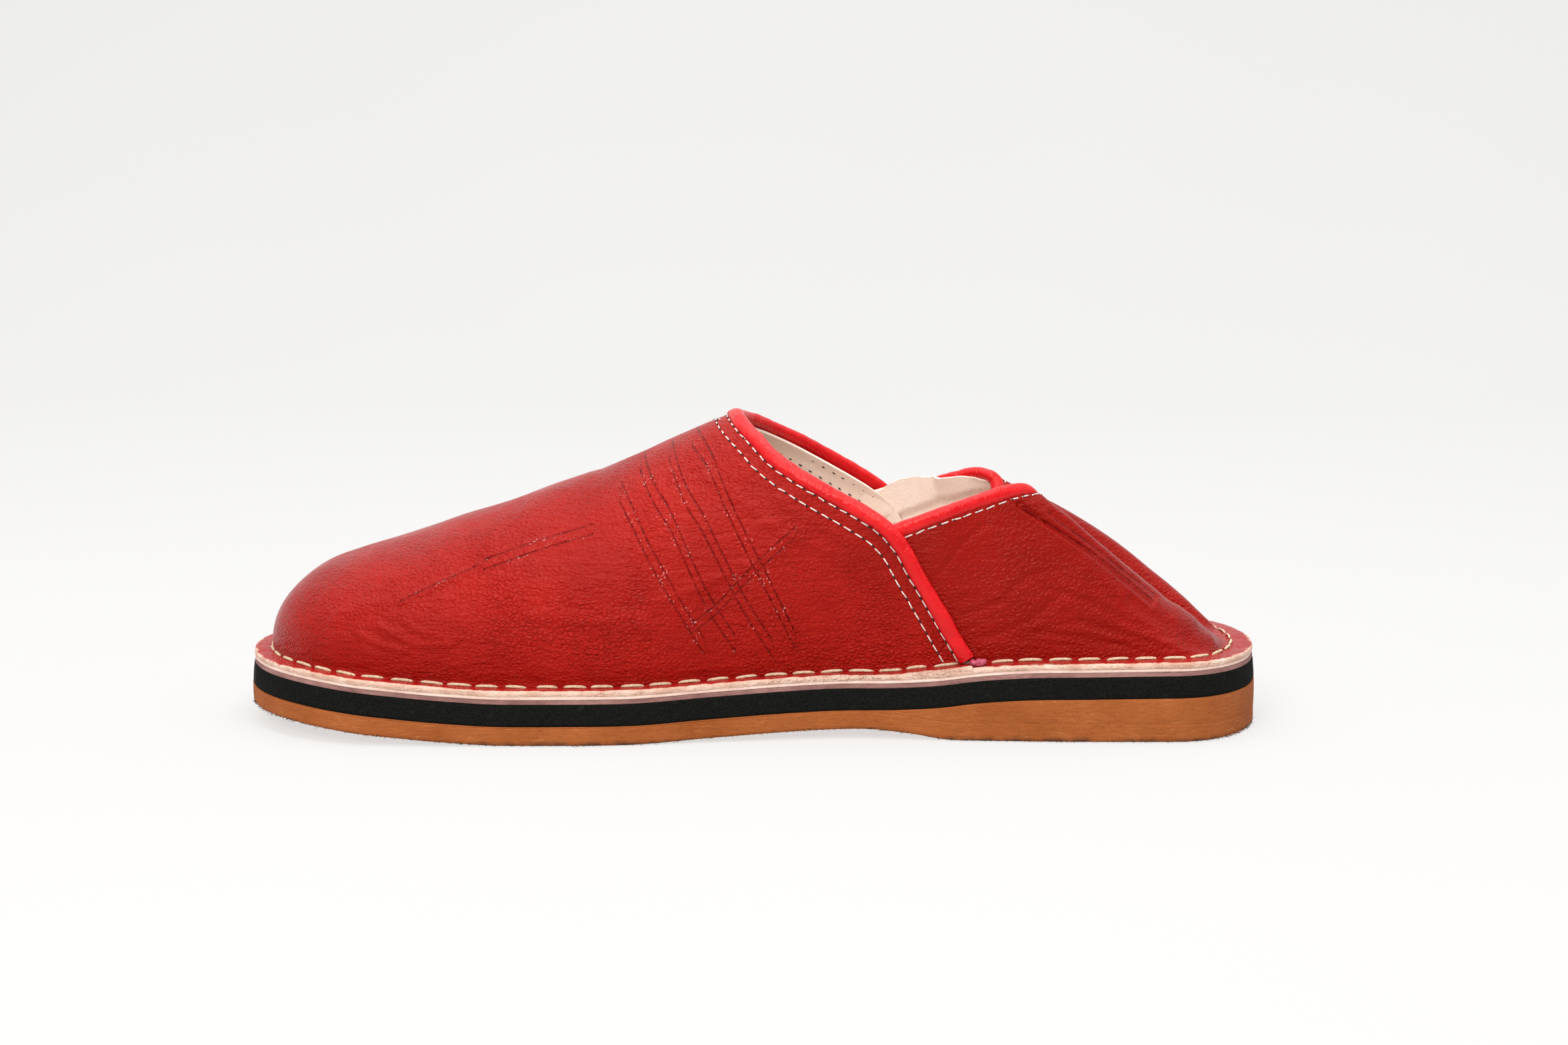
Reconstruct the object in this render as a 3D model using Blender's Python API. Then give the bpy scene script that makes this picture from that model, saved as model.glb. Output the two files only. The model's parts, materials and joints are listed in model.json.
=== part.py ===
"""Leather babouche slipper for the right foot, standing empty on its sole with its heel trodden down.

The shoe is put together as a maker does it: a rubber outsole, a skived heel lift, a foam
midsole and a leather insole board are stacked, the upper is turned outwards at its foot and
sewn to the board, and rolled leather bindings close its two edges.
+X runs from toe to heel, +Y to the outer side of the foot, +Z up from the floor.
"""
import math

import bmesh
import bpy
import numpy as np

MM = 0.001

# Sole in plan
SOLE_LENGTH = 290 * MM
BALL_WIDTH = 98.5 * MM
WAIST_WIDTH = 74.5 * MM
HEEL_WIDTH = 76 * MM
TOE_REACH = 45 * MM
HEEL_REACH = 27 * MM

# Sole in height
OUTSOLE_THICKNESS = 5.2 * MM
MIDSOLE_THICKNESS = 6.0 * MM
BOARD_THICKNESS = 0.9 * MM
INSOLE_THICKNESS = 1.0 * MM
HEEL_LIFT = 6.3 * MM
TOE_SPRING = 4.8 * MM
ARCH_RISE = 2.6 * MM
SOLE_EDGE_ROUND = 1.2 * MM
EDGE_DRAFT = 1.0 * MM
LIFT_TIP_THICKNESS = 0.3 * MM

# Upper
FLANGE_WIDTH = 6.0 * MM
FLANGE_THICKNESS = 2.3 * MM
WALL_THICKNESS = 2.2 * MM
QUARTER_THICKNESS = 2.0 * MM
VAMP_STEP = 1.1 * MM
LAP_LENGTH = 20 * MM
LAP_LINING = 0.9 * MM
INSTEP_HEIGHT = 71.0 * MM
COLLAR_RISE = 45 * MM
TOE_CAP_REACH = 22 * MM
SIDE_BULGE = 4.2 * MM
FLANGE_SINK = 0.15 * MM

# Trodden-down heel
RIDGE_SPREAD = 44 * MM
TROUGH_CLEARANCE = 0.8 * MM
OUTER_SLUMP = 0.8 * MM
OUTER_ADVANCE = 7 * MM

# Bindings
BINDING_WIDTH = 4.4 * MM
VAMP_BINDING_HEIGHT = 3.6 * MM
COLLAR_BINDING_HEIGHT = 4.0 * MM
LAP_EASE = 9 * MM

GAP = 0.3 * MM
COLLAR_GAP = 0.9 * MM

# Mesh density
SOLE_STATIONS = 60
VAMP_ROWS = 26
VAMP_COLUMNS = 30
QUARTER_ROWS = 9
QUARTER_STEPS = 3
BINDING_SIDES = 8
BINDING_STATIONS = 73
BINDING_STEPS = 4

# Distance of the sole's inner and outer edge from the long axis, as a share of the width
# named in the row. along is the share of the sole's length from the toe.
PLAN = (
    # along, width, inner, outer
    (0.00, BALL_WIDTH, 0.460, 0.468),
    (0.23, BALL_WIDTH, 0.480, 0.492),
    (0.36, BALL_WIDTH, 0.470, 0.524),
    (0.48, BALL_WIDTH, 0.408, 0.480),
    (0.61, WAIST_WIDTH, 0.475, 0.540),
    (0.72, HEEL_WIDTH, 0.495, 0.510),
    (0.80, HEEL_WIDTH, 0.505, 0.500),
    (1.00, HEEL_WIDTH, 0.485, 0.480),
)

# Underside of the sole over the floor, as shares of the toe spring and of the arch rise,
# and the lift over the outsole as a share of its full thickness.
PROFILE = (
    # along, spring, arch, lift
    (0.000, 1.00, 0.00, 0.00),
    (0.070, 0.88, 0.00, 0.00),
    (0.140, 0.55, 0.00, 0.00),
    (0.210, 0.19, 0.00, 0.00),
    (0.275, 0.00, 0.00, 0.00),
    (0.385, 0.00, 0.00, 0.00),
    (0.465, 0.00, 0.40, 0.00),
    (0.535, 0.00, 0.78, 0.00),
    (0.610, 0.00, 1.00, 0.00),
    (0.655, 0.00, 0.60, 0.22),
    (0.700, 0.00, 0.00, 0.66),
    (0.760, 0.00, 0.00, 0.93),
    (0.830, 0.00, 0.00, 1.00),
    (1.000, 0.00, 0.00, 1.10),
)

# Crown of the upper over its foot as a share of the instep height, the squareness of the
# section there, and the bulge of the walls as a share of the side bulge. Past the throat the
# crown is only the guide that the side walls lean to.
CROWN = (
    # along, height, squareness, bulge
    (0.00, 0.230, 2.30, 0.30),
    (0.12, 0.420, 2.25, 0.45),
    (0.22, 0.590, 2.15, 0.60),
    (0.34, 0.766, 2.05, 0.75),
    (0.42, 0.905, 2.00, 0.85),
    (0.49, 1.005, 2.00, 0.95),
    (0.56, 1.085, 2.15, 1.00),
    (0.64, 1.150, 2.45, 1.00),
    (0.72, 1.180, 2.80, 0.80),
    (1.00, 1.180, 3.00, 0.60),
)

# Rear edge of the vamp, seen from the side: height over the foot as a share of the
# instep height, and place along the sole on the inner and the outer side.
THROAT = (
    # height, inner, outer
    (-0.02, 0.701, 0.701),
    (0.13, 0.684, 0.684),
    (0.26, 0.670, 0.670),
    (0.39, 0.655, 0.656),
    (0.50, 0.640, 0.643),
    (0.565, 0.625, 0.632),
    (0.62, 0.604, 0.616),
    (0.69, 0.573, 0.590),
    (0.76, 0.544, 0.563),
    (0.825, 0.521, 0.538),
    (0.90, 0.502, 0.513),
    (0.965, 0.485, 0.490),
    (1.02, 0.475, 0.475),
)

# Upright stretch of the quarter: place along the sole and the height of its
# leather edge over the foot, as a share of the collar rise.
WALL = (
    # along, edge
    (0.585, 0.72),
    (0.640, 0.84),
    (0.685, 0.93),
)

# Lines of leather from the foot of the quarter to its edge, from the side wall over the
# ridge of the fold and down to the middle of the trough. foot is a share of the half ring
# from toe to heel, top is a share of the sole's length, out is a share of half the ridge
# spread, up is a share of the collar rise, and bow_out and bow_up push the line's middle
# outwards and up, as shares of the same two.
FOLDS = (
    # foot, top, out, up, bow_out, bow_up
    (0.688, 0.728, 1.32, 0.985, 0.12, 0.00),
    (0.761, 0.752, 1.23, 1.020, 0.10, 0.02),
    (0.845, 0.768, 1.12, 1.025, 0.08, 0.07),
    (0.908, 0.778, 0.98, 1.000, 0.05, 0.13),
    (0.946, 0.779, 0.84, 0.920, 0.00, 0.13),
    (0.961, 0.772, 0.75, 0.740, 0.00, 0.11),
    (0.973, 0.762, 0.70, 0.440, 0.00, 0.10),
    (0.983, 0.752, 0.60, 0.170, 0.00, 0.12),
    (0.992, 0.742, 0.32, 0.095, 0.00, 0.14),
)
MIDDLE_TOP = 0.738
MIDDLE_BOW = 0.14


def smooth(knots, values, at):
    """Cubic curve through a table that never overshoots a knot: its tangent there is the mean
    of the slopes on the knot's two sides, at most three times the flatter one, and level
    where the two slopes differ in sign."""
    knots = np.asarray(knots, float)
    values = np.asarray(values, float)
    flat = values.reshape(len(knots), -1)
    step = np.diff(knots)[:, None]
    slope = np.diff(flat, axis=0) / step
    tangent = np.zeros_like(flat)
    before, after = slope[:-1], slope[1:]
    mean = (before * step[1:] + after * step[:-1]) / (step[1:] + step[:-1])
    limit = 3 * np.minimum(np.abs(before), np.abs(after))
    tangent[1:-1] = np.where(before * after > 0, np.clip(mean, -limit, limit), 0.0)
    tangent[0], tangent[-1] = slope[0], slope[-1]
    at = np.asarray(at, float)
    spot = np.clip(at.ravel(), knots[0], knots[-1])
    cell = np.clip(np.searchsorted(knots, spot, side="right") - 1, 0, len(knots) - 2)
    width = step[cell]
    t = (spot - knots[cell])[:, None] / width
    found = (
        flat[cell] * (1 + 2 * t) * (1 - t) ** 2
        + flat[cell + 1] * t * t * (3 - 2 * t)
        + tangent[cell] * width * t * (1 - t) ** 2
        - tangent[cell + 1] * width * t * t * (1 - t)
    )
    return found.reshape(at.shape + values.shape[1:])


def column(table, index):
    return np.array([row[index] for row in table], float)


def along(table, index, s):
    """One column of a table whose first column is the share of the sole's length."""
    return smooth(column(table, 0) * SOLE_LENGTH, column(table, index), s)


def round_end(share, power):
    """Rises from 0 to 1 along a quarter of a rounded outline as share goes from 0 to 1."""
    rest = 1 - np.clip(share, 0, 1)
    return (1 - rest**power) ** (1 / power)


def half_width(s, outer, inset):
    """Distance from the long axis to a line set in by inset from the sole's edge."""
    knots = column(PLAN, 0) * SOLE_LENGTH
    inner_body = smooth(knots, column(PLAN, 1) * column(PLAN, 2), s)
    outer_body = smooth(knots, column(PLAN, 1) * column(PLAN, 3), s)
    body = np.where(outer, outer_body, inner_body) - inset
    toe = round_end((s - inset) / (TOE_REACH - inset), 2.0)
    heel = round_end((SOLE_LENGTH - inset - s) / (HEEL_REACH - inset), 2.1)
    return body * toe * heel


def ring(angle, inset):
    """Points of the line set in by inset: 0 is the toe, a quarter turn the inner side, half a
    turn the heel. Returns the place from the toe and the signed distance from the axis."""
    angle = np.asarray(angle, float)
    reach = SOLE_LENGTH / 2 - inset
    s = SOLE_LENGTH / 2 - reach * np.cos(angle)
    side = np.sin(angle)
    width = half_width(s, side < 0, inset)
    return s, -np.sign(side) * width * (np.abs(side) > 1e-9)


def ring_angle(s, inset):
    """Angle on the inner side at which the line set in by inset passes the place s."""
    reach = SOLE_LENGTH / 2 - inset
    return np.arccos(np.clip((SOLE_LENGTH / 2 - s) / reach, -1, 1))


def axis_shift():
    """Moves the long axis so that the sole's two widest points lie as far out."""
    s = np.linspace(0, SOLE_LENGTH, 400)
    return (half_width(s, True, 0).max() - half_width(s, False, 0).max()) / 2


AXIS_SHIFT = axis_shift()


def place(s, y, z):
    """Shoe coordinates to the part's frame."""
    s, y, z = np.broadcast_arrays(s, y, z)
    return np.stack([s - SOLE_LENGTH / 2, y - AXIS_SHIFT, z], axis=-1)


def ground(s):
    return TOE_SPRING * along(PROFILE, 1, s) + ARCH_RISE * along(PROFILE, 2, s)


def lift(s):
    return (HEEL_LIFT + GAP) * along(PROFILE, 3, s)


def outsole_top(s):
    return ground(s) + OUTSOLE_THICKNESS


def midsole_base(s):
    return outsole_top(s) + GAP + lift(s)


def midsole_top(s):
    return midsole_base(s) + MIDSOLE_THICKNESS


def board_top(s):
    return midsole_top(s) + GAP + BOARD_THICKNESS


def insole_top(s):
    return board_top(s) + GAP + INSOLE_THICKNESS


def foot_height(s):
    """Top of the turned-out flange, where the walls of the upper start."""
    return board_top(s) + GAP + FLANGE_THICKNESS


def material(name, colour, roughness):
    made = bpy.data.materials.new(name)
    made.use_nodes = True
    shader = made.node_tree.nodes["Principled BSDF"]
    shader.inputs["Base Color"].default_value = (*colour, 1)
    shader.inputs["Roughness"].default_value = roughness
    shader.inputs["Metallic"].default_value = 0
    return made


def make_object(name, points, faces, finish, smooth_angle=40):
    """A closed body with its normals out, shaded smooth up to an angle."""
    mesh = bpy.data.meshes.new(name)
    mesh.from_pydata([tuple(p) for p in points], [], faces)
    work = bmesh.new()
    work.from_mesh(mesh)
    bmesh.ops.remove_doubles(work, verts=work.verts, dist=2e-6)
    bmesh.ops.recalc_face_normals(work, faces=work.faces)
    work.to_mesh(mesh)
    work.free()
    mesh.shade_smooth()
    mesh.set_sharp_from_angle(angle=math.radians(smooth_angle))
    mesh.materials.append(finish)
    made = bpy.data.objects.new(name, mesh)
    bpy.context.scene.collection.objects.link(made)
    return made


def loop_faces(rows, size):
    """Quads between neighbouring closed loops of size points."""
    return [
        (
            row * size + i,
            row * size + (i + 1) % size,
            (row + 1) * size + (i + 1) % size,
            (row + 1) * size + i,
        )
        for row in range(rows - 1)
        for i in range(size)
    ]


def layer(name, lines, finish, first=0.0, last=SOLE_LENGTH):
    """A sheet cut to the sole's outline. lines are pairs of inset and height over the place
    along the sole, from the middle of the underside round the edge to the top."""
    turn = np.linspace(0, math.pi, SOLE_STATIONS + 1)
    loops = []
    for inset, height in lines:
        start = max(first, inset)
        end = min(last, SOLE_LENGTH - inset)
        s = (start + end) / 2 - (end - start) / 2 * np.cos(turn)
        inner = place(s, -half_width(s, False, inset), height(s))
        outer = place(s, half_width(s, True, inset), height(s))
        loops.append((inner, outer))
    sections = []
    for i in range(SOLE_STATIONS + 1):
        inner = [line[0][i] for line in loops]
        outer = [line[1][i] for line in reversed(loops)]
        sections.extend(inner + outer)
    size = 2 * len(lines)
    faces = loop_faces(SOLE_STATIONS + 1, size)
    if first > 0:
        faces.append(tuple(range(size)))
    if last < SOLE_LENGTH:
        faces.append(tuple(SOLE_STATIONS * size + i for i in range(size)))
    return make_object(name, sections, faces, finish)


def build_outsole(finish):
    """Full-length rubber sheet, bent up at the toe and under the arch, its lower edge eased."""
    return layer(
        "outsole",
        [
            (SOLE_EDGE_ROUND, ground),
            (SOLE_EDGE_ROUND * 0.3, lambda s: ground(s) + SOLE_EDGE_ROUND * 0.3),
            (0.0, lambda s: ground(s) + SOLE_EDGE_ROUND),
            (0.0, outsole_top),
        ],
        finish,
    )


def lift_start():
    """Place where the lift has grown to the thickness of its skived tip."""
    s = np.linspace(0, SOLE_LENGTH, 2000)
    return s[np.argmax(lift(s) > GAP + LIFT_TIP_THICKNESS)]


def build_heel_lift(finish):
    """Wedge of rubber between outsole and midsole, skived to a thin tip at its front."""
    return layer(
        "heel_lift",
        [
            (0.0, lambda s: outsole_top(s) + GAP),
            (0.0, lambda s: midsole_base(s) - GAP),
        ],
        finish,
        first=lift_start(),
    )


def build_midsole(finish):
    return layer(
        "midsole",
        [(0.0, midsole_base), (EDGE_DRAFT * 0.5, midsole_top)],
        finish,
    )


def build_insole_board(finish):
    return layer(
        "insole_board",
        [
            (EDGE_DRAFT * 0.6, lambda s: midsole_top(s) + GAP),
            (EDGE_DRAFT * 0.8, board_top),
        ],
        finish,
    )


def build_insole(finish):
    """Thin leather sock on the board inside the walls of the upper. It ends where the trodden
    heel comes down to the board."""
    inset = FLANGE_WIDTH + VAMP_STEP + QUARTER_THICKNESS + LAP_LINING + 2 * GAP
    return layer(
        "insole",
        [(inset, lambda s: board_top(s) + GAP), (inset, insole_top)],
        finish,
        last=SOLE_LENGTH - HEEL_REACH,
    )


def upper_section(s, theta, inset, drop):
    """Point of the last-shaped skin at the angle theta over the foot, from the inner side
    (0) over the crown to the outer side (half a turn). It is a rounded arch between the two
    walls, pushed out above the stitching. drop lowers the crown for the skin's inside."""
    outer = np.cos(theta) < 0
    base = half_width(s, outer, inset)
    end = round_end((s - inset) / TOE_CAP_REACH, 2.5)
    crown = (INSTEP_HEIGHT * along(CROWN, 1, s) - drop) * end
    power = 2 / along(CROWN, 2, s)
    climb = np.clip(np.sin(theta), 0, 1) ** power
    reach = np.abs(np.cos(theta)) ** power
    rise = 1 - np.abs(2 * theta / math.pi - 1)
    bulge = SIDE_BULGE * along(CROWN, 3, s) * end * 6.75 * rise * (1 - rise) ** 2
    width = base * reach + bulge
    return place(s, np.where(outer, width, -width), foot_height(s) + crown * climb)


def upper_wall(s, height, outer, inset, drop):
    """Point of the same skin at a height over the foot."""
    crown = INSTEP_HEIGHT * along(CROWN, 1, s) - drop
    climb = np.clip(height / crown, 0, 1)
    theta = np.arcsin(climb ** (along(CROWN, 2, s) / 2))
    return upper_section(s, np.where(outer, math.pi - theta, theta), inset, drop)


def throat_place(theta):
    """Place along the sole at which the vamp's rear edge cuts the line at angle theta, found
    by halving, because the edge is a curve in the side view."""
    low = np.full(theta.shape, column(THROAT, 1).min() * SOLE_LENGTH - 4 * FLANGE_WIDTH)
    high = np.full(theta.shape, column(THROAT, 1).max() * SOLE_LENGTH + 2 * FLANGE_WIDTH)
    heights = column(THROAT, 0) * INSTEP_HEIGHT
    inner = column(THROAT, 1) * SOLE_LENGTH
    outer = column(THROAT, 2) * SOLE_LENGTH
    for _ in range(40):
        middle = (low + high) / 2
        climbed = upper_section(middle, theta, FLANGE_WIDTH, 0)[..., 2] - foot_height(middle)
        on_inner = smooth(heights, inner, climbed)
        on_outer = smooth(heights, outer, climbed)
        past = middle > np.where(np.cos(theta) < 0, on_outer, on_inner)
        high = np.where(past, middle, high)
        low = np.where(past, low, middle)
    return (low + high) / 2


def lap_lining(s):
    """Extra depth of the vamp where its lining takes in the front of the quarter."""
    start = WALL[0][0] * SOLE_LENGTH - LAP_LENGTH
    ramp = np.clip((s - start) / LAP_LENGTH, 0, 1)
    depth = VAMP_STEP + QUARTER_THICKNESS + LAP_LINING - WALL_THICKNESS
    return depth * ramp * ramp * (3 - 2 * ramp)


def flange_points(angle, sink):
    """Outer lower and outer upper corner of the turned-out flange at an angle of the ring."""
    s, y = ring(angle, EDGE_DRAFT + sink)
    low = place(s, y, board_top(s) + GAP + sink)
    high = place(s, y, foot_height(s) - sink)
    return low, high


def vamp_mesh():
    """Front of the upper, from a pole at the toe to the throat's edge, as a sleeve whose every
    section runs out over the skin and back along its inside."""
    share = 1 - np.cos(np.linspace(0, math.pi / 2, VAMP_ROWS + 1))
    theta = np.linspace(0, math.pi, VAMP_COLUMNS + 1)
    end = throat_place(theta)
    start = FLANGE_WIDTH
    s = start + share[:, None] * (end - start)[None, :]
    skin = upper_section(s, theta[None, :], FLANGE_WIDTH, 0)
    inner_start = FLANGE_WIDTH + WALL_THICKNESS
    s_in = inner_start + share[:, None] * (end - inner_start)[None, :]
    inset = FLANGE_WIDTH + WALL_THICKNESS + lap_lining(s_in)
    lining = upper_section(s_in, theta[None, :], inset, WALL_THICKNESS)
    for side in (0, -1):
        lining[:, side, 2] = board_top(s_in[:, side]) + GAP
    points = []
    for row in range(VAMP_ROWS + 1):
        inner_angle = ring_angle(s[row, 0], FLANGE_WIDTH)
        outer_angle = 2 * math.pi - ring_angle(s[row, -1], FLANGE_WIDTH)
        inner_low, inner_high = flange_points(inner_angle, 0)
        outer_low, outer_high = flange_points(outer_angle, 0)
        points.extend([inner_low, inner_high, *skin[row]])
        points.extend([outer_high, outer_low, *lining[row][::-1]])
    count = VAMP_COLUMNS + 1
    size = 2 * count + 4
    faces = loop_faces(VAMP_ROWS + 1, size)
    last = VAMP_ROWS * size
    for i in range(VAMP_COLUMNS):
        out, back = last + 2 + i, last + size - 1 - i
        faces.append((out, out + 1, back - 1, back))
    faces.append((last, last + 1, last + 2, last + size - 1))
    far = last + 2 + count
    faces.append((far - 1, far, far + 1, far + 2))
    return points, faces


def bowed(foot, top, bow, share):
    """Line from foot to top whose middle is pushed by bow."""
    share = share[:, None]
    middle = (foot + top) / 2 + bow
    return foot * (1 - share) ** 2 + 2 * middle * share * (1 - share) + top * share**2


def quarter_lines(share):
    """The lines of leather from the inner lap round the heel to the outer lap, each with a
    point for every share of its height, and the ring angle of each foot."""
    inset = FLANGE_WIDTH + VAMP_STEP
    sides = []
    for outer in (False, True):
        sign = 1 if outer else -1
        lines, angles = [], []
        for spot, edge in WALL:
            s = np.full(share.shape, spot * SOLE_LENGTH)
            height = share * edge * COLLAR_RISE
            lines.append(upper_wall(s, height, outer, inset, 0))
            angles.append(ring_angle(s[0], inset))
        for number, (foot, top, out, up, bow_out, bow_up) in enumerate(FOLDS):
            angle = foot * math.pi
            s, y = ring(angle, inset)
            heel = place(s, -y if outer else y, foot_height(s))
            s_top = top * SOLE_LENGTH - (OUTER_ADVANCE if outer else 0)
            rise = up * COLLAR_RISE - (OUTER_SLUMP * min(1, up) if outer else 0)
            y_top = sign * out * RIDGE_SPREAD / 2
            crest = place(s_top, y_top, foot_height(s_top) + rise)
            bow = np.array([0, sign * bow_out * RIDGE_SPREAD / 2, bow_up * COLLAR_RISE])
            lines.append(bowed(heel, crest, bow, share))
            angles.append(angle)
        sides.append((lines, angles))
    (inner, inner_angles), (outer_lines, outer_angles) = sides
    s, y = ring(math.pi, inset)
    heel = place(s, y, foot_height(s))
    s_top = MIDDLE_TOP * SOLE_LENGTH
    half_edge = (COLLAR_BINDING_HEIGHT + QUARTER_THICKNESS) / 2
    crest = place(s_top, 0, insole_top(s_top) + GAP + half_edge + TROUGH_CLEARANCE)
    middle = bowed(heel, crest, np.array([0, 0, MIDDLE_BOW * COLLAR_RISE]), share)
    lines = np.array([*inner, middle, *outer_lines[::-1]])
    turned = [2 * math.pi - a for a in outer_angles[::-1]]
    return lines, np.array([*inner_angles, math.pi, *turned])


def surface_normals(grid):
    """Unit normals of a grid of points, from the differences along its two directions."""
    across = np.gradient(grid, axis=0)
    up = np.gradient(grid, axis=1)
    normal = np.cross(across, up)
    return normal / np.maximum(np.linalg.norm(normal, axis=-1, keepdims=True), 1e-12)


def quarter_skin(rows, steps):
    """Outer skin of the quarter: a smooth sheet across the lines of leather, with its foot
    held on the ring. Returns the points and the ring angle of each column."""
    share = np.linspace(0, 1, rows + 1)
    lines, angles = quarter_lines(share)
    spacing = np.linalg.norm(np.diff(lines, axis=0), axis=-1).mean(axis=1)
    knots = np.concatenate([[0], np.cumsum(spacing)])
    part = np.linspace(0, 1, steps, endpoint=False)
    spots = (knots[:-1, None] + part[None, :] * np.diff(knots)[:, None]).ravel()
    spots = np.append(spots, knots[-1])
    skin = smooth(knots, lines, spots)
    angle = smooth(knots, angles, spots)
    s, y = ring(angle, FLANGE_WIDTH + VAMP_STEP)
    slip = place(s, y, foot_height(s)) - skin[:, 0]
    skin += slip[:, None, :] * ((1 - share) ** 2)[None, :, None]
    return skin, angle


def quarter_mesh():
    """Back of the upper as a sleeve from lap to lap, out over the skin and back inside."""
    skin, angle = quarter_skin(QUARTER_ROWS, QUARTER_STEPS)
    lining = skin - QUARTER_THICKNESS * surface_normals(skin)
    s, y = ring(angle, FLANGE_WIDTH + VAMP_STEP + QUARTER_THICKNESS)
    lining[:, 0] = place(s, y, board_top(s) + GAP + FLANGE_SINK)
    low, high = flange_points(angle, FLANGE_SINK)
    points = []
    for i in range(len(skin)):
        foot = skin[i].copy()
        foot[0, 2] -= FLANGE_SINK
        points.extend([low[i], high[i], *foot, *lining[i][::-1]])
    count = QUARTER_ROWS + 1
    size = 2 * count + 2
    faces = loop_faces(len(skin), size)
    for start in (0, (len(skin) - 1) * size):
        for i in range(QUARTER_ROWS):
            out, back = start + 2 + i, start + size - 1 - i
            faces.append((out, out + 1, back - 1, back))
        faces.append((start, start + 1, start + 2, start + size - 1))
    return points, faces


def build_upper(finish):
    """Vamp and quarter joined into one hollow skin: the quarter's ends are taken in between
    the vamp's leather and its lining, so that the vamp's edge stands proud as a step."""
    upper = make_object("upper", *vamp_mesh(), finish)
    quarter = make_object("quarter_form", *quarter_mesh(), finish)
    quarter.hide_render = True
    quarter.display_type = "WIRE"
    join = upper.modifiers.new("take in quarter", "BOOLEAN")
    join.operation = "UNION"
    join.solver = "EXACT"
    join.object = quarter
    return upper


def unit(vectors):
    return vectors / np.linalg.norm(vectors, axis=-1, keepdims=True)


def eased(values, passes):
    """Values averaged with their neighbours, the two ends held."""
    values = values.copy()
    for _ in range(passes):
        values[1:-1] = (values[:-2] + 2 * values[1:-1] + values[2:]) / 4
    return values


def edge_frame(edge, inner_line):
    """Direction across an edge away from the leather, and the leather's outward normal, for
    an edge that runs with the leather on its right."""
    tangent = unit(np.gradient(edge, axis=0))
    away = edge - inner_line
    away = unit(away - tangent * np.sum(away * tangent, axis=1, keepdims=True))
    normal = np.cross(tangent, away)
    return unit(eased(away, 4)), unit(eased(normal, 4))


def tube(name, path, side, out, width, height, finish):
    """Closed rod with an oval section along a path. side and out are the unit directions of
    the section's width and height at each point."""
    turn = np.linspace(0, 2 * math.pi, BINDING_SIDES, endpoint=False)
    rings = (
        path[:, None]
        + side[:, None] * (width / 2 * np.cos(turn))[None, :, None]
        + out[:, None] * (height / 2 * np.sin(turn))[None, :, None]
    )
    faces = loop_faces(len(path), BINDING_SIDES)
    faces.append(tuple(range(BINDING_SIDES)))
    last = (len(path) - 1) * BINDING_SIDES
    faces.append(tuple(last + i for i in range(BINDING_SIDES)))
    return make_object(name, rings.reshape(-1, 3), faces, finish)


def build_vamp_binding(finish):
    """Rolled leather along the vamp's rear edge, from the outer flange over the throat to the
    inner flange. Beside the throat it closes the free edge, lower down it lies on the quarter."""
    theta = math.pi / 2 * (1 + np.cos(np.linspace(0, math.pi, BINDING_STATIONS)))
    end = throat_place(theta)
    edge = upper_section(end, theta, FLANGE_WIDTH, 0)
    behind = upper_section(end - 2 * MM, theta, FLANGE_WIDTH, 0)
    away, normal = edge_frame(edge, behind)
    height = edge[:, 2] - foot_height(end)
    notch = WALL[1][1] * COLLAR_RISE
    share = np.clip((height - notch) / LAP_EASE, 0, 1)
    laid = VAMP_STEP - GAP - VAMP_BINDING_HEIGHT / 2
    depth = laid + (WALL_THICKNESS / 2 - laid) * share * share * (3 - 2 * share)
    path = edge + away * (BINDING_WIDTH / 2 + GAP) - normal * depth[:, None]
    clear = height > BINDING_WIDTH / 4
    return tube(
        "vamp_binding",
        path[clear],
        away[clear],
        normal[clear],
        BINDING_WIDTH,
        VAMP_BINDING_HEIGHT,
        finish,
    )


def build_collar_binding(finish):
    """Rolled leather round the quarter's edge, from notch to notch through the trough."""
    skin, _ = quarter_skin(QUARTER_ROWS, BINDING_STEPS)
    edge = skin[:, -1]
    away, normal = edge_frame(edge, skin[:, -2])
    path = edge + away * (COLLAR_BINDING_HEIGHT / 2 + COLLAR_GAP) - normal * QUARTER_THICKNESS / 2
    path = eased(path, 2)
    notch = WALL[1][0] * SOLE_LENGTH - SOLE_LENGTH / 2 + BINDING_WIDTH
    kept = path[:, 0] > notch
    return tube(
        "collar_binding",
        path[kept],
        away[kept],
        normal[kept],
        COLLAR_BINDING_HEIGHT,
        COLLAR_BINDING_HEIGHT,
        finish,
    )


def build():
    for old in list(bpy.data.objects):
        bpy.data.objects.remove(old)
    tan_rubber = material("tan_rubber", (0.50, 0.20, 0.065), 0.75)
    black_foam = material("black_foam", (0.012, 0.013, 0.013), 0.85)
    brown_board = material("brown_board", (0.30, 0.15, 0.13), 0.8)
    natural_leather = material("natural_leather", (0.75, 0.56, 0.44), 0.7)
    red_leather = material("red_leather", (0.45, 0.012, 0.012), 0.4)
    bright_leather = material("bright_leather", (0.60, 0.006, 0.012), 0.35)
    build_outsole(tan_rubber)
    build_heel_lift(tan_rubber)
    build_midsole(black_foam)
    build_insole_board(brown_board)
    build_insole(natural_leather)
    build_upper(red_leather)
    build_vamp_binding(bright_leather)
    build_collar_binding(bright_leather)


build()
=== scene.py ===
"""Red leather babouche slipper on a pale studio floor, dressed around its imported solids."""
import json
import math

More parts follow.
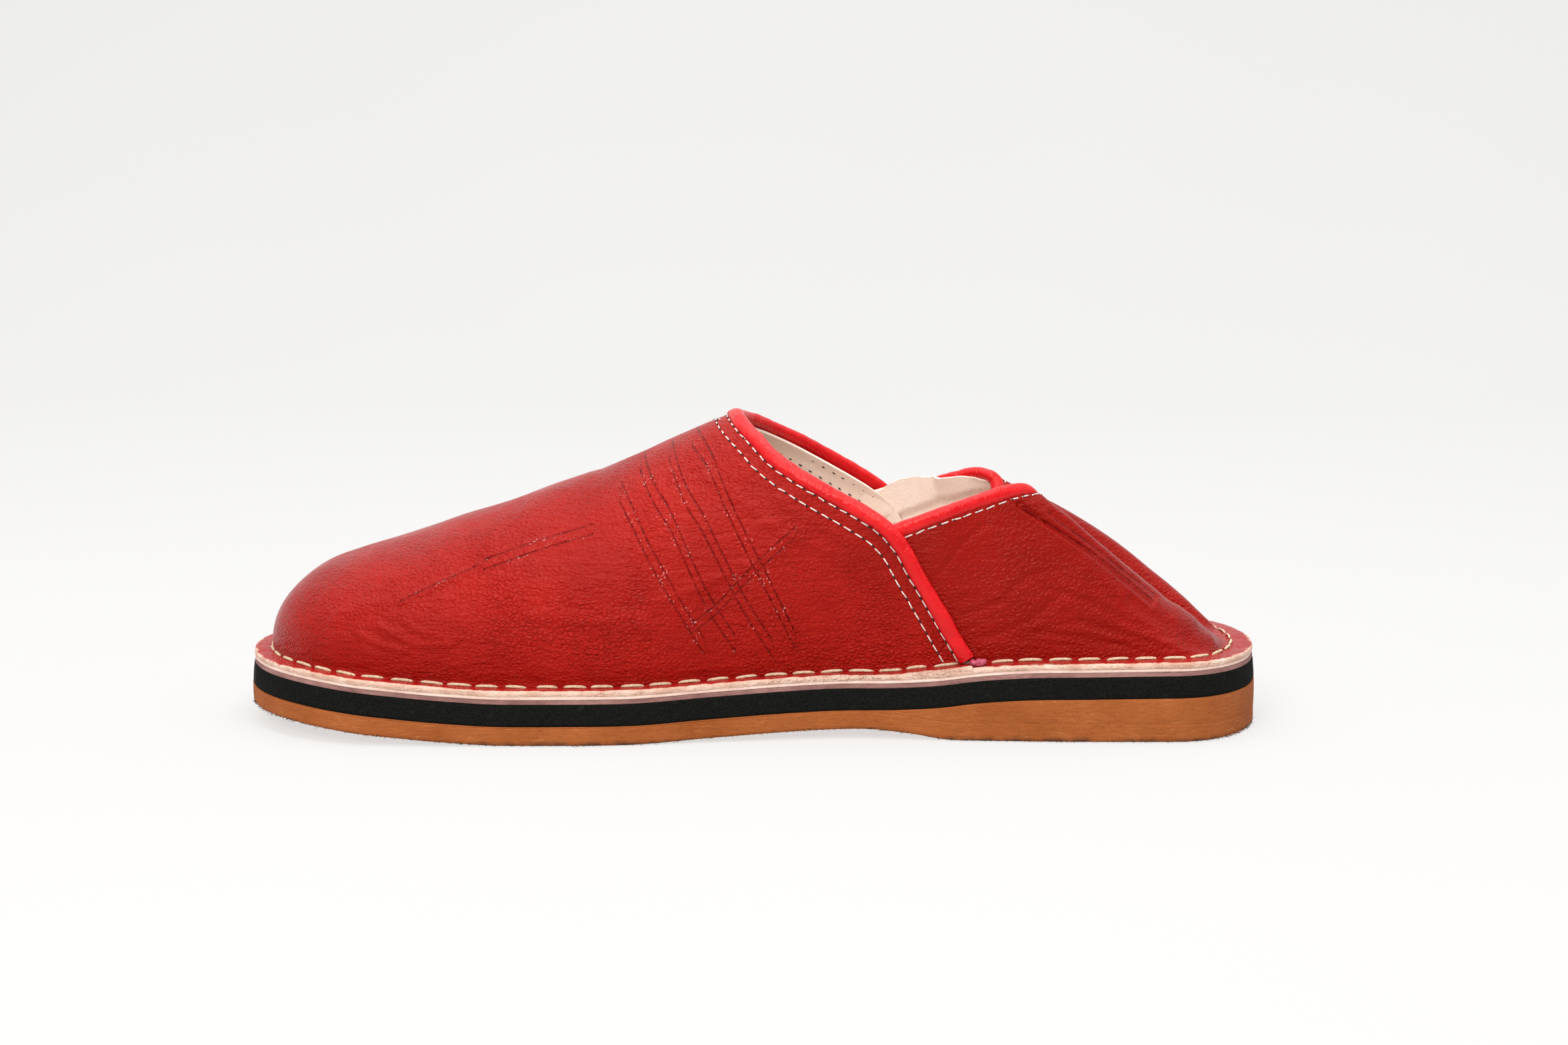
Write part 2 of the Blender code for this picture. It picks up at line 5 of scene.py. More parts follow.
import bmesh
import bpy
import numpy as np
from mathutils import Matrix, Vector

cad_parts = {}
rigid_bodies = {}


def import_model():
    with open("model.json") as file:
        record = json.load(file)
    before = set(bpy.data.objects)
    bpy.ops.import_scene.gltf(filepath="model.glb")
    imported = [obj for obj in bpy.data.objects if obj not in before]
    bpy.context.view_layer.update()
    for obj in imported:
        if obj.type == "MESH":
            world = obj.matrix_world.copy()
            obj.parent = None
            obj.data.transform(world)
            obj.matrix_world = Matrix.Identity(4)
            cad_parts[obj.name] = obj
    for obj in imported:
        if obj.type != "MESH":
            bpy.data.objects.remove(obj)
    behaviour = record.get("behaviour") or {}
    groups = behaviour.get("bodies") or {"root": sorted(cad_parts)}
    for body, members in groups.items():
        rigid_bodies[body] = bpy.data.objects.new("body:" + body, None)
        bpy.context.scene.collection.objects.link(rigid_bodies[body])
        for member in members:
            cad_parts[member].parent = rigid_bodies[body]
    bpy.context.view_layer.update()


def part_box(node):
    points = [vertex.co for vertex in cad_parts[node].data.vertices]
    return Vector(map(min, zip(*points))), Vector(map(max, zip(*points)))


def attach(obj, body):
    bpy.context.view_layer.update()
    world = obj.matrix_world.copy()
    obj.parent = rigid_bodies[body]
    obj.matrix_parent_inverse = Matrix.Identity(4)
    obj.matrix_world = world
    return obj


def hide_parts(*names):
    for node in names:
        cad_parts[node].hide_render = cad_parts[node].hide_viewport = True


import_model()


# Outsole
# A sheet of tan crepe rubber, cut to the sole's outline, bent up at the toe and under the
# arch, and glued under the whole shoe. Its edge is sanded, so it is matt with short fibres.

MM = 0.001
SOLE_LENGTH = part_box("outsole")[1][0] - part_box("outsole")[0][0]
BALL_WIDTH = 98.5 * MM
WAIST_WIDTH = 74.5 * MM
HEEL_WIDTH = 76 * MM
TOE_REACH = 45 * MM
HEEL_REACH = 27 * MM
OUTSOLE_THICKNESS = 5.2 * MM
MIDSOLE_THICKNESS = 6.0 * MM
BOARD_THICKNESS = 0.9 * MM
HEEL_LIFT = 6.3 * MM
TOE_SPRING = 4.8 * MM
ARCH_RISE = 2.6 * MM
GAP = 0.3 * MM
TOP_EASE = 0.15 * MM
SOLE_COLUMNS = 1400
EDGE_ROWS = 13

# Distance of the sole's inner and outer edge from the long axis, as a share of the width
# named in the row. along is the share of the sole's length from the toe.
PLAN = (
    # along, width, inner, outer
    (0.00, BALL_WIDTH, 0.460, 0.468),
    (0.23, BALL_WIDTH, 0.480, 0.492),
    (0.36, BALL_WIDTH, 0.470, 0.524),
    (0.48, BALL_WIDTH, 0.408, 0.480),
    (0.61, WAIST_WIDTH, 0.475, 0.540),
    (0.72, HEEL_WIDTH, 0.495, 0.510),
    (0.80, HEEL_WIDTH, 0.505, 0.500),
    (1.00, HEEL_WIDTH, 0.485, 0.480),
)

# Underside of the sole over the floor, as shares of the toe spring and of the arch rise,
# and the lift over the outsole as a share of its full thickness.
PROFILE = (
    # along, spring, arch, lift
    (0.000, 1.00, 0.00, 0.00),
    (0.070, 0.88, 0.00, 0.00),
    (0.140, 0.55, 0.00, 0.00),
    (0.210, 0.19, 0.00, 0.00),
    (0.275, 0.00, 0.00, 0.00),
    (0.385, 0.00, 0.00, 0.00),
    (0.465, 0.00, 0.40, 0.00),
    (0.535, 0.00, 0.78, 0.00),
    (0.610, 0.00, 1.00, 0.00),
    (0.655, 0.00, 0.60, 0.22),
    (0.700, 0.00, 0.00, 0.66),
    (0.760, 0.00, 0.00, 0.93),
    (0.830, 0.00, 0.00, 1.00),
    (1.000, 0.00, 0.00, 1.10),
)


def smooth(knots, values, at):
    """Cubic curve through a table that never overshoots a knot: its tangent there is the mean
    of the slopes on the knot's two sides, at most three times the flatter one, and level
    where the two slopes differ in sign."""
    knots, values, at = (np.asarray(given, float) for given in (knots, values, at))
    flat = values.reshape(len(knots), -1)
    step = np.diff(knots)[:, None]
    slope = np.diff(flat, axis=0) / step
    before, after = slope[:-1], slope[1:]
    mean = (before * step[1:] + after * step[:-1]) / (step[1:] + step[:-1])
    limit = 3 * np.minimum(np.abs(before), np.abs(after))
    inner = np.where(before * after > 0, np.clip(mean, -limit, limit), 0.0)
    tangent = np.concatenate([slope[:1], inner, slope[-1:]])
    spot = np.clip(at.ravel(), knots[0], knots[-1])
    cell = np.clip(np.searchsorted(knots, spot, side="right") - 1, 0, len(knots) - 2)
    width = step[cell]
    t = (spot - knots[cell])[:, None] / width
    found = (
        flat[cell] * (1 + 2 * t) * (1 - t) ** 2
        + flat[cell + 1] * t * t * (3 - 2 * t)
        + tangent[cell] * width * t * (1 - t) ** 2
        - tangent[cell + 1] * width * t * t * (1 - t)
    )
    return found.reshape(at.shape + values.shape[1:])


def column(table, index):
    return np.array([row[index] for row in table], float)


def along(table, index, s):
    """One column of a table whose first column is the share of the sole's length."""
    return smooth(column(table, 0) * SOLE_LENGTH, column(table, index), s)


def round_end(share, power):
    """Rises from 0 to 1 along a quarter of a rounded outline as share goes from 0 to 1."""
    rest = 1 - np.clip(share, 0, 1)
    return (1 - rest**power) ** (1 / power)


def half_width(s, outer, inset):
    """Distance from the long axis to a line set in by inset from the sole's edge."""
    knots, width = column(PLAN, 0) * SOLE_LENGTH, column(PLAN, 1)
    inner_body, outer_body = (smooth(knots, width * column(PLAN, side), s) for side in (2, 3))
    body = np.where(outer, outer_body, inner_body) - inset
    toe = round_end((s - inset) / (TOE_REACH - inset), 2.0)
    heel = round_end((SOLE_LENGTH - inset - s) / (HEEL_REACH - inset), 2.1)
    return body * toe * heel


def ring(angle, inset):
    """Points of the line set in by inset: 0 is the toe, a quarter turn the inner side, half a
    turn the heel. Returns the place from the toe and the signed distance from the axis."""
    angle, inset = np.broadcast_arrays(np.asarray(angle, float), np.asarray(inset, float))
    s = SOLE_LENGTH / 2 - (SOLE_LENGTH / 2 - inset) * np.cos(angle)
    side = np.sin(angle)
    width = half_width(s, side < 0, inset)
    return s, -np.sign(side) * width * (np.abs(side) > 1e-9)


def ring_angle(s, inset):
    """Angle on the inner side at which the line set in by inset passes the place s."""
    reach = SOLE_LENGTH / 2 - inset
    return np.arccos(np.clip((SOLE_LENGTH / 2 - s) / reach, -1, 1))


stations = np.linspace(0, SOLE_LENGTH, 400)
AXIS_SHIFT = (half_width(stations, True, 0).max() - half_width(stations, False, 0).max()) / 2


def place(s, y, z):
    """Shoe coordinates, from the toe, the axis and the floor, to the part's frame."""
    s, y, z = np.broadcast_arrays(s, y, z)
    return np.stack([s - SOLE_LENGTH / 2, y - AXIS_SHIFT, z], axis=-1)


def on_ring(angle, inset, level):
    """Points of the line set in by inset, at the heights that level gives for their places."""
    s, y = ring(angle, inset)
    return place(s, y, level(s))


def from_toe(points):
    return points[..., 0] + SOLE_LENGTH / 2


def ground(s):
    return TOE_SPRING * along(PROFILE, 1, s) + ARCH_RISE * along(PROFILE, 2, s)


def lift(s):
    return (HEEL_LIFT + GAP) * along(PROFILE, 3, s)


def outsole_top(s):
    return ground(s) + OUTSOLE_THICKNESS


def midsole_base(s):
    return outsole_top(s) + GAP + lift(s)


def midsole_top(s):
    return midsole_base(s) + MIDSOLE_THICKNESS


def board_top(s):
    return midsole_top(s) + GAP + BOARD_THICKNESS


def eased_step(ramp):
    """Rises smoothly from 0 to 1 while ramp does, level before and after."""
    ramp = np.clip(ramp, 0, 1)
    return ramp * ramp * (3 - 2 * ramp)


def lumps(points, size, seed):
    """Smooth random heights between -1 and 1: a lattice of random values with cells of the
    given size along each axis, blended by cubic steps."""
    lattice = np.random.default_rng(seed).uniform(-1, 1, (32, 32, 32))
    spot = points / np.asarray(size, float) + 400.37
    cell = np.floor(spot).astype(int)
    part = eased_step(spot - cell)
    total = np.zeros(points.shape[:-1])
    for corner in np.ndindex(2, 2, 2):
        index = (cell + corner) % 32
        weight = np.prod(np.where(corner, part, 1 - part), axis=-1)
        total += weight * lattice[index[..., 0], index[..., 1], index[..., 2]]
    return total


def mesh_piece(name, points, faces, finish):
    """Closed mesh with merged doubles and its faces out, riding on the shoe's one body."""
    mesh = bpy.data.meshes.new(name)
    mesh.from_pydata(points.reshape(-1, 3).tolist(), [], faces)
    work = bmesh.new()
    work.from_mesh(mesh)
    bmesh.ops.remove_doubles(work, verts=work.verts, dist=1e-6)
    bmesh.ops.recalc_face_normals(work, faces=work.faces)
    work.to_mesh(mesh)
    work.free()
    mesh.shade_smooth()
    mesh.set_sharp_from_angle(angle=math.radians(50))
    mesh.materials.append(finish)
    piece = bpy.data.objects.new(name, mesh)
    bpy.context.scene.collection.objects.link(piece)
    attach(piece, "root")
    return piece


def grid_faces(rows, columns, wrap):
    """Quads of a grid whose columns, and rows where wrap says so, close on themselves."""
    index = np.arange(rows * columns).reshape(rows, columns)
    right = np.roll(index, -1, axis=1)
    quads = np.stack([index, right, np.roll(right, -1, axis=0), np.roll(index, -1, axis=0)], -1)
    return (quads if wrap else quads[:-1]).reshape(-1, 4).tolist()


def sole_sheet(name, low, high, inset, draft, ease, rough, seed, finish, ring_width=None):
    """Sheet cut to the sole's outline: a band runs round the edge from low to high with both
    corners eased, its surface moved in and out by fine and coarse lumps, and flat rows close
    it to the long axis, or to a ring's inner line where ring_width is given."""
    angle = np.linspace(0, 2 * math.pi, SOLE_COLUMNS, endpoint=False)[None, :]
    band = np.linspace(0, 1, EDGE_ROWS)[:, None]

    def edge_band(insets):
        s, y = ring(angle, insets)
        return s, y, place(s, y, low(s) + (high(s) - low(s)) * band)

    s, _ = ring(angle, inset)
    tall = (high(s) - low(s)).mean()
    near_low = np.clip(1 - band * tall / ease, 0, 1)
    near_high = np.clip(1 - (1 - band) * tall / TOP_EASE, 0, 1)
    corner = ease * (1 - np.sqrt(1 - near_low**2)) + TOP_EASE * (1 - np.sqrt(1 - near_high**2))
    plain = inset + draft * band + corner
    points = edge_band(plain)[2]
    worn = lumps(points, 1.1 * MM, seed) * 0.5 + lumps(points, 5 * MM, seed + 1)
    worn = worn * rough + lumps(points, 30 * MM, seed + 2) * rough
    s, y, edge = edge_band(plain - worn * (0.4 + 0.6 * band * (1 - band) * 4))
    if ring_width is None:
        shares = (0.0, 0.5, 0.97)
        under = [place(s[0], y[0] * share, low(s[0])) for share in shares]
        over = [place(s[-1], y[-1] * share, high(s[-1])) for share in shares[::-1]]
        rows = [*under, *edge, *over]
    else:
        s, y = ring(angle[0], inset + ring_width)
        rows = [*edge, place(s, y, high(s)), place(s, y, low(s))]
    faces = grid_faces(len(rows), SOLE_COLUMNS, ring_width is not None)
    return mesh_piece(name, np.array(rows), faces, finish)


class Paint:
    """A material, or the world, built up from patterns in its own coordinates: a base colour
    is clouded first, then stained layer by layer, and bumps go one over the other."""

    def __init__(self, made, shader="Principled BSDF", coordinates="Object"):
        made.use_nodes = True
        self.made, self.tree, self.base = made, made.node_tree, None
        self.inputs = self.tree.nodes[shader].inputs
        self.where = self.node("TexCoord", coordinates, {})

    def fill(self, sockets, values):
        """Sets each named socket to a number, or links it to another node's output."""
        for name, value in values.items():
            if isinstance(value, bpy.types.NodeSocket):
                self.tree.links.new(value, sockets[name])
            else:
                sockets[name].default_value = value

    def node(self, kind, output, values, **options):
        made = self.tree.nodes.new("ShaderNode" + kind)
        for name, option in options.items():
            setattr(made, name, option)
        self.fill(made.inputs, values)
        return made.outputs[output]

    def stretched(self, scale, turn=(0, 0, 0)):
        turn = [math.radians(angle) for angle in turn]
        values = {"Vector": self.where, "Rotation": turn, "Scale": scale}
        return self.node("Mapping", "Vector", values)

    def noise(self, scale, detail=4, roughness=0.55, where=None):
        values = {"Scale": scale, "Detail": detail, "Roughness": roughness}
        values["Vector"] = self.where if where is None else where
        return self.node("TexNoise", "Fac", values)

    def grain(self, scale, detail, roughness, turn=(0, 0, 0)):
        """Noise stretched along the shoe's axes, for marks that run one way."""
        return self.noise(1.0, detail, roughness, self.stretched(scale, turn))

    def cells(self, scale, feature="F1", where=None):
        values = {"Scale": scale, "Vector": self.where if where is None else where}
        return self.node("TexVoronoi", "Distance", values, feature=feature)

    def part(self, axis):
        return self.node("SeparateXYZ", axis, {"Vector": self.where})

    def attribute(self, name):
        return self.node("Attribute", "Fac", {}, attribute_name=name)

    def spread(self, value, low, high, out_low=0.0, out_high=1.0):
        """Value stretched so that low gives out_low and high gives out_high, clamped."""
        values = {"Value": value, "From Min": low, "From Max": high}
        values |= {"To Min": out_low, "To Max": out_high}
        return self.node("MapRange", "Result", values)

    def maths(self, operation, first, second):
        return self.node("Math", "Value", {0: first, 1: second}, operation=operation)

    def mix(self, share, *colours):
        """Colour mixed from the first to the second by share; each is a colour or a socket.
        A mix node keeps its colour sockets in places 6 and 7, and its colour output in 2."""
        first, second = ((*c, 1) if isinstance(c, tuple) else c for c in colours)
        return self.node("Mix", 2, {0: share, 6: first, 7: second}, data_type="RGBA")

    def cloud(self, value, low, high, first, second):
        self.base = self.mix(self.spread(value, low, high), first, second)

    def cover(self, share, colour):
        self.base = self.mix(share, self.base, colour)

    def stain(self, value, low, high, amount, colour):
        self.cover(self.spread(value, low, high, 0, amount), colour)

    def done(self, layers, **settings):
        """Finished material: bump layers, each a height with its depth in metres, and other
        settings of the shader by their names."""
        normal = None
        for height, depth in layers:
            values = {"Strength": 1.0, "Distance": depth, "Height": height}
            if normal is not None:
                values["Normal"] = normal
            normal = self.node("Bump", "Normal", values)
            self.fill(self.inputs, {"Normal": normal, "Coat Normal": normal})
        settings = {name.replace("_", " "): value for name, value in settings.items()}
        self.fill(self.inputs, {"Base Color": self.base, **settings})
        return self.made


def new_paint(name, roughness):
    paint = Paint(bpy.data.materials.new(name))
    paint.fill(paint.inputs, {"Roughness": roughness})
    return paint


def rubber_finish():
    """Sanded crepe: mottled tan, short slanted fibres, dirt and painted contact shade at the floor.
    """
    paint = new_paint("tan_crepe", 0.82)
    fibres = paint.grain((260, 260, 1500), 5, 0.65, (0, 28, 0))
    patches = paint.noise(55, 4, 0.6)
    specks = paint.noise(1400, 2, 0.5)
    paint.cloud(patches, 0.3, 0.7, (0.310, 0.078, 0.015), (0.405, 0.117, 0.029))
    paint.stain(fibres, 0.58, 0.74, 0.55, (0.24, 0.055, 0.012))
    paint.stain(fibres, 0.40, 0.26, 0.45, (0.62, 0.26, 0.09))
    paint.stain(specks, 0.62, 0.72, 0.5, (0.20, 0.045, 0.010))
    # Patchy dark band within two millimetres of the floor: partly dirt, partly painted contact
    # shade.
    near_floor = paint.spread(paint.part("Z"), 1.9 * MM, 0.2 * MM)
    dirt_and_contact_shade = paint.maths("MULTIPLY", near_floor, paint.spread(paint.noise(260), 0.38, 0.6))
    paint.cover(dirt_and_contact_shade, (0.075, 0.030, 0.014))
    layers = [(fibres, 0.45 * MM), (specks, 0.15 * MM), (patches, 0.3 * MM)]
    return paint.done(layers, Specular_IOR_Level=0.2)


tan_crepe = rubber_finish()
outsole = sole_sheet(
    "outsole_sheet", ground, outsole_top, 0.0, 0.0, 1.3 * MM, 0.16 * MM, 3, tan_crepe
)
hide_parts("outsole")


# Frayed fibres under the edge
# Sanding leaves short threads of rubber hanging from the lower edge of the outsole. They are
# thin slivers that point outwards and down.

FIBRE_COUNT = 2600
FIBRE_WIDTH = 0.17 * MM
FIBRE_REACH = 0.7 * MM
FIBRE_SEED = 11


def unit(vectors):
    return vectors / np.maximum(np.linalg.norm(vectors, axis=-1, keepdims=True), 1e-12)


def outwards(angle, inset, beyond):
    """Level directions from the line set in by inset to the one set in by beyond."""
    return unit(on_ring(angle, beyond, np.zeros_like) - on_ring(angle, inset, np.zeros_like))


def edge_fibres():
    """Three-sided slivers on the sole's edge line: each is a spike with its foot on the line
    and its tip moved out, along and down by random lengths."""
    rng = np.random.default_rng(FIBRE_SEED)
    angle = rng.uniform(0.0, 2 * math.pi, FIBRE_COUNT)
    s, y = ring(angle, 0.35 * MM)
    foot = place(s, y, ground(s) + rng.uniform(0.1, 0.7, FIBRE_COUNT) * MM)
    out = outwards(angle, 0.35 * MM, -1.0 * MM)
    side = np.stack([-out[:, 1], out[:, 0], np.zeros(FIBRE_COUNT)], axis=1)
    length = rng.gamma(2.0, 0.32, FIBRE_COUNT).clip(0.2, 1.9)[:, None] * FIBRE_REACH
    lean = rng.normal(0, 0.9, FIBRE_COUNT)[:, None]
    drop = rng.uniform(0.0, 0.5, FIBRE_COUNT)[:, None]
    tip = foot + length * (out * 0.8 + side * lean) - length * drop * np.array([0, 0, 1.0])
    tip[:, 2] = np.maximum(tip[:, 2], 0.05 * MM)
    half = FIBRE_WIDTH / 2
    over = np.array([0, 0, half]) * 1.7
    corners = np.stack([foot + side * half, foot - side * half, foot + over, tip], axis=1)
    start = np.arange(FIBRE_COUNT)[:, None] * 4
    pattern = np.array([[0, 1, 2], [0, 3, 1], [1, 3, 2], [2, 3, 0]])
    faces = (start[:, :, None] + pattern[None]).reshape(-1, 3).tolist()
    # The fibres' near-black brown is painted shade: they draw a dark line along the sole's lower
    # edge.
    paint = new_paint("fibre_painted_shade", 0.9)
    fibre_shade_mottle = paint.noise(500, 2, 0.5)
    paint.cloud(fibre_shade_mottle, 0.4, 0.6, (0.030, 0.014, 0.007), (0.14, 0.055, 0.022))
    finish = paint.done([(fibre_shade_mottle, 0.1 * MM)])
    mesh_piece("outsole_fibres", corners, faces, finish)


edge_fibres()


# Heel lift
# A wedge of the same crepe between outsole and midsole, skived to nothing under the waist.
# It is glued on and sanded with the outsole, so only a faint line parts the two.


def lift_low(s):
    return outsole_top(s) - 0.05 * MM


def lift_high(s):
    return np.maximum(outsole_top(s) + lift(s) + GAP * 0.9, outsole_top(s) + 0.02 * MM)


heel_lift = sole_sheet(
    "heel_wedge", lift_low, lift_high, 0.05 * MM, 0.0, 0.12 * MM, 0.14 * MM, 21, tan_crepe,
)
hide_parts("heel_lift")


# Midsole
# A full-length sheet of black foam rubber, 6 mm thick. Its cut edge is dead matt, full of
# fine pores, and rubbed grey at the toe.

MIDSOLE_DRAFT = 0.5 * MM
RUBBED_SPOT = (-0.142, -0.016, 0.0135)


def foam_finish():
    paint = new_paint("black_foam", 0.9)
    pores = paint.cells(1900)
    coarse = paint.noise(420, 4, 0.6)
    saw = paint.grain((120, 120, 1600), 3, 0.5)
    paint.cloud(pores, 0.1, 0.55, (0.0025, 0.0025, 0.0022), (0.0085, 0.0085, 0.0078))
    paint.stain(coarse, 0.62, 0.78, 0.7, (0.020, 0.020, 0.018))
    away = paint.node("VectorMath", "Value", {0: paint.where, 1: RUBBED_SPOT}, operation="DISTANCE")
    rubbed_and_glint_patches = paint.spread(away, 4.5 * MM, 1.2 * MM, 0, 0.5)
    rubbed_and_glint_patches = paint.maths("MULTIPLY", rubbed_and_glint_patches, paint.spread(coarse, 0.3, 0.7))
    paint.cover(rubbed_and_glint_patches, (0.16, 0.15, 0.14))
    layers = [(saw, 0.2 * MM), (pores, 0.22 * MM), (coarse, 0.25 * MM)]
    return paint.done(layers, Specular_IOR_Level=0.06)


midsole = sole_sheet(
    "midsole_foam", midsole_base, midsole_top, 0.1 * MM, MIDSOLE_DRAFT, 0.4 * MM, 0.09 * MM, 31,
    foam_finish(),
)
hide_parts("midsole")


# Insole board
# Thin leather board of a dull mauve brown on the foam, to which the upper is sewn. Only its
# cut edge shows, as a dark line under the pale flange.

BOARD_INSET = 0.75 * MM


def board_low(s):
    return midsole_top(s) + 0.05 * MM


def board_high(s):
    return board_top(s) + 0.1 * MM


def board_finish():
    paint = new_paint("mauve_board", 0.88)
    fibres = paint.grain((500, 500, 2600), 4, 0.6)
    paint.cloud(paint.noise(90, 3, 0.6), 0.3, 0.7, (0.20, 0.085, 0.075), (0.36, 0.185, 0.16))
    paint.stain(fibres, 0.5, 0.75, 0.6, (0.12, 0.05, 0.045))
    return paint.done([(fibres, 0.3 * MM)])


board = sole_sheet(
    "insole_board_sheet", board_low, board_high, BOARD_INSET, 0.1 * MM, 0.25 * MM, 0.12 * MM, 41,
    board_finish(),
)
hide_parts("insole_board")


# Insole
# A sock of undyed leather, suede side up, glued to the board inside the upper. It is mostly
# hidden, so the solid stays and gets the lining's suede.


def suede_finish():
    """Undyed suede: pinkish beige, clouded, with a soft nap and faint brown rub marks."""
    paint = new_paint("natural_suede", 0.85)
    clouds = paint.noise(45, 5, 0.6)
    nap = paint.noise(1500, 3, 0.6)
    streaks = paint.grain((700, 700, 180), 4, 0.6, (0, 20, 10))
    paint.cloud(clouds, 0.3, 0.7, (0.85, 0.67, 0.55), (0.91, 0.78, 0.68))
    paint.stain(streaks, 0.58, 0.75, 0.3, (0.70, 0.46, 0.33))
    paint.stain(nap, 0.55, 0.75, 0.3, (0.90, 0.76, 0.64))
    layers = [(streaks, 0.25 * MM), (nap, 0.16 * MM), (clouds, 0.4 * MM)]
    return paint.done(layers, Sheen_Weight=0.25, Sheen_Roughness=0.5)


natural_suede = suede_finish()
for carried in bpy.data.objects:
    if carried.name.split(".")[0] == "insole":
        for held in carried.material_slots:
            held.link = "OBJECT"
            held.material = natural_suede


# Flange lining
# The lining is turned out with the upper and sewn down, so its pale pink cut edge shows as a
# thin line between the board and the thicker red leather.

FLANGE_WIDTH = 6.0 * MM
FLANGE_THICKNESS = 2.3 * MM
FLANGE_LINING = 0.95 * MM


def foot_height(s):
    """Top of the turned-out flange, where the walls of the upper start."""
    return board_top(s) + GAP + FLANGE_THICKNESS


def lining_low(s):
    return board_top(s) + 0.15 * MM


def lining_high(s):
    return board_top(s) + 0.15 * MM + FLANGE_LINING


def cut_edge_finish(name, pale, dark, rosy):
    """Cut edge of leather: pale fibres standing on end, pinkish where dye ran into them."""
    paint = new_paint(name, 0.9)
    fibres = paint.grain((1500, 1500, 700), 4, 0.7)
    clouds = paint.noise(120, 4, 0.65)
    paint.cloud(clouds, 0.32, 0.68, dark, pale)
    paint.stain(fibres, 0.56, 0.7, 0.5, rosy)
    return paint.done([(fibres, 0.3 * MM), (clouds, 0.25 * MM)])


pale_edge = cut_edge_finish(
    "pale_cut_edge", (0.86, 0.66, 0.57), (0.70, 0.46, 0.38), (0.55, 0.30, 0.25)
)
sole_sheet(
    "flange_lining", lining_low, lining_high, 0.85 * MM, 0.1 * MM, 0.3 * MM, 0.16 * MM, 51,
    pale_edge, 8 * MM,
)


# Vamp
# The front of the upper: one piece of red sheepskin about 1.3 mm thick, pulled over the last,
# turned out at its foot and sewn down. It is scored across the instep with fine double lines.

WALL_THICKNESS = 2.2 * MM
LEATHER_THICKNESS = 1.3 * MM
QUARTER_THICKNESS = 2.0 * MM
VAMP_STEP = 1.1 * MM
LAP_FRONT = 0.585 * SOLE_LENGTH
LAP_LENGTH = 20 * MM
LAP_LINING = 0.9 * MM
DOUBLE_FLANGE_START = 184 * MM
DOUBLE_FLANGE_RAMP = 9 * MM
DOUBLE_FLANGE_RISE = 0.75 * MM
INSTEP_HEIGHT = 71.0 * MM
COLLAR_RISE = 45 * MM
TOE_CAP_REACH = 22 * MM
SIDE_BULGE = 4.2 * MM
EDGE_DRAFT = 1.0 * MM
VAMP_ROWS = 320
VAMP_COLUMNS = 240
BACK_STEP = 4
HALVINGS = 40

# Crown of the upper over its foot as a share of the instep height, the squareness of the
# section there, and the bulge of the walls as a share of the side bulge.
CROWN = (
    # along, height, squareness, bulge
    (0.00, 0.230, 2.30, 0.30),
    (0.12, 0.420, 2.25, 0.45),
    (0.22, 0.590, 2.15, 0.60),
    (0.34, 0.766, 2.05, 0.75),
    (0.42, 0.905, 2.00, 0.85),
    (0.49, 1.005, 2.00, 0.95),
    (0.56, 1.085, 2.15, 1.00),
    (0.64, 1.150, 2.45, 1.00),
    (0.72, 1.180, 2.80, 0.80),
    (1.00, 1.180, 3.00, 0.60),
)

# Rear edge of the vamp, seen from the side: height over the foot as a share of the
# instep height, and place along the sole on the inner and the outer side.
THROAT = (
    # height, inner, outer
    (-0.02, 0.710, 0.706),
    (0.13, 0.690, 0.687),
    (0.26, 0.673, 0.672),
    (0.39, 0.655, 0.656),
    (0.50, 0.640, 0.643),
    (0.565, 0.625, 0.632),
    (0.62, 0.604, 0.616),
    (0.69, 0.573, 0.590),
    (0.76, 0.544, 0.563),
    (0.825, 0.521, 0.538),
    (0.90, 0.502, 0.508),
    (0.965, 0.485, 0.482),
    (1.02, 0.472, 0.470),
)

# Creases of the vamp's inner side, each a soft fold between two lips: width and depth, then
# its points as places from the toe and heights over the floor, all in millimetres.
VAMP_CREASES = (
    (5.0, 0.55, ((97, 70), (84, 62), (72, 54))),
    (1.1, 0.22, ((72, 48), (88, 53), (103, 58))),
    (1.1, 0.18, ((73, 50), (89, 55), (101, 59))),
    (1.5, 0.30, ((49, 38.5), (60, 43), (71, 48))),
    (1.6, 0.35, ((44, 32), (50, 29), (56, 27), (63, 27.5))),
    (1.3, 0.25, ((38, 30), (45, 27), (52, 26))),
    (1.2, 0.22, ((52, 33), (57, 30), (66, 29))),
    (2.2, 0.30, ((30, 33), (36, 36), (45, 38))),
    (2.6, 0.30, ((120, 38), (135, 44), (152, 52), (160, 58))),
    (2.0, 0.25, ((150, 60), (158, 56), (168, 52))),
    (1.8, 0.22, ((152, 68), (160, 62), (170, 57))),
    (3.0, 0.35, ((86, 36), (100, 34), (118, 33))),
    (2.4, 0.25, ((128, 78), (136, 70), (146, 64))),
)

# The flange's rounded rim from its lower edge up: inset from the line of the draft in
# millimetres, and share of the flange's height.
RIM = ((-0.10, 0.00), (-0.23, 0.22), (-0.25, 0.45), (-0.19, 0.68), (-0.03, 0.86), (0.30, 0.97))

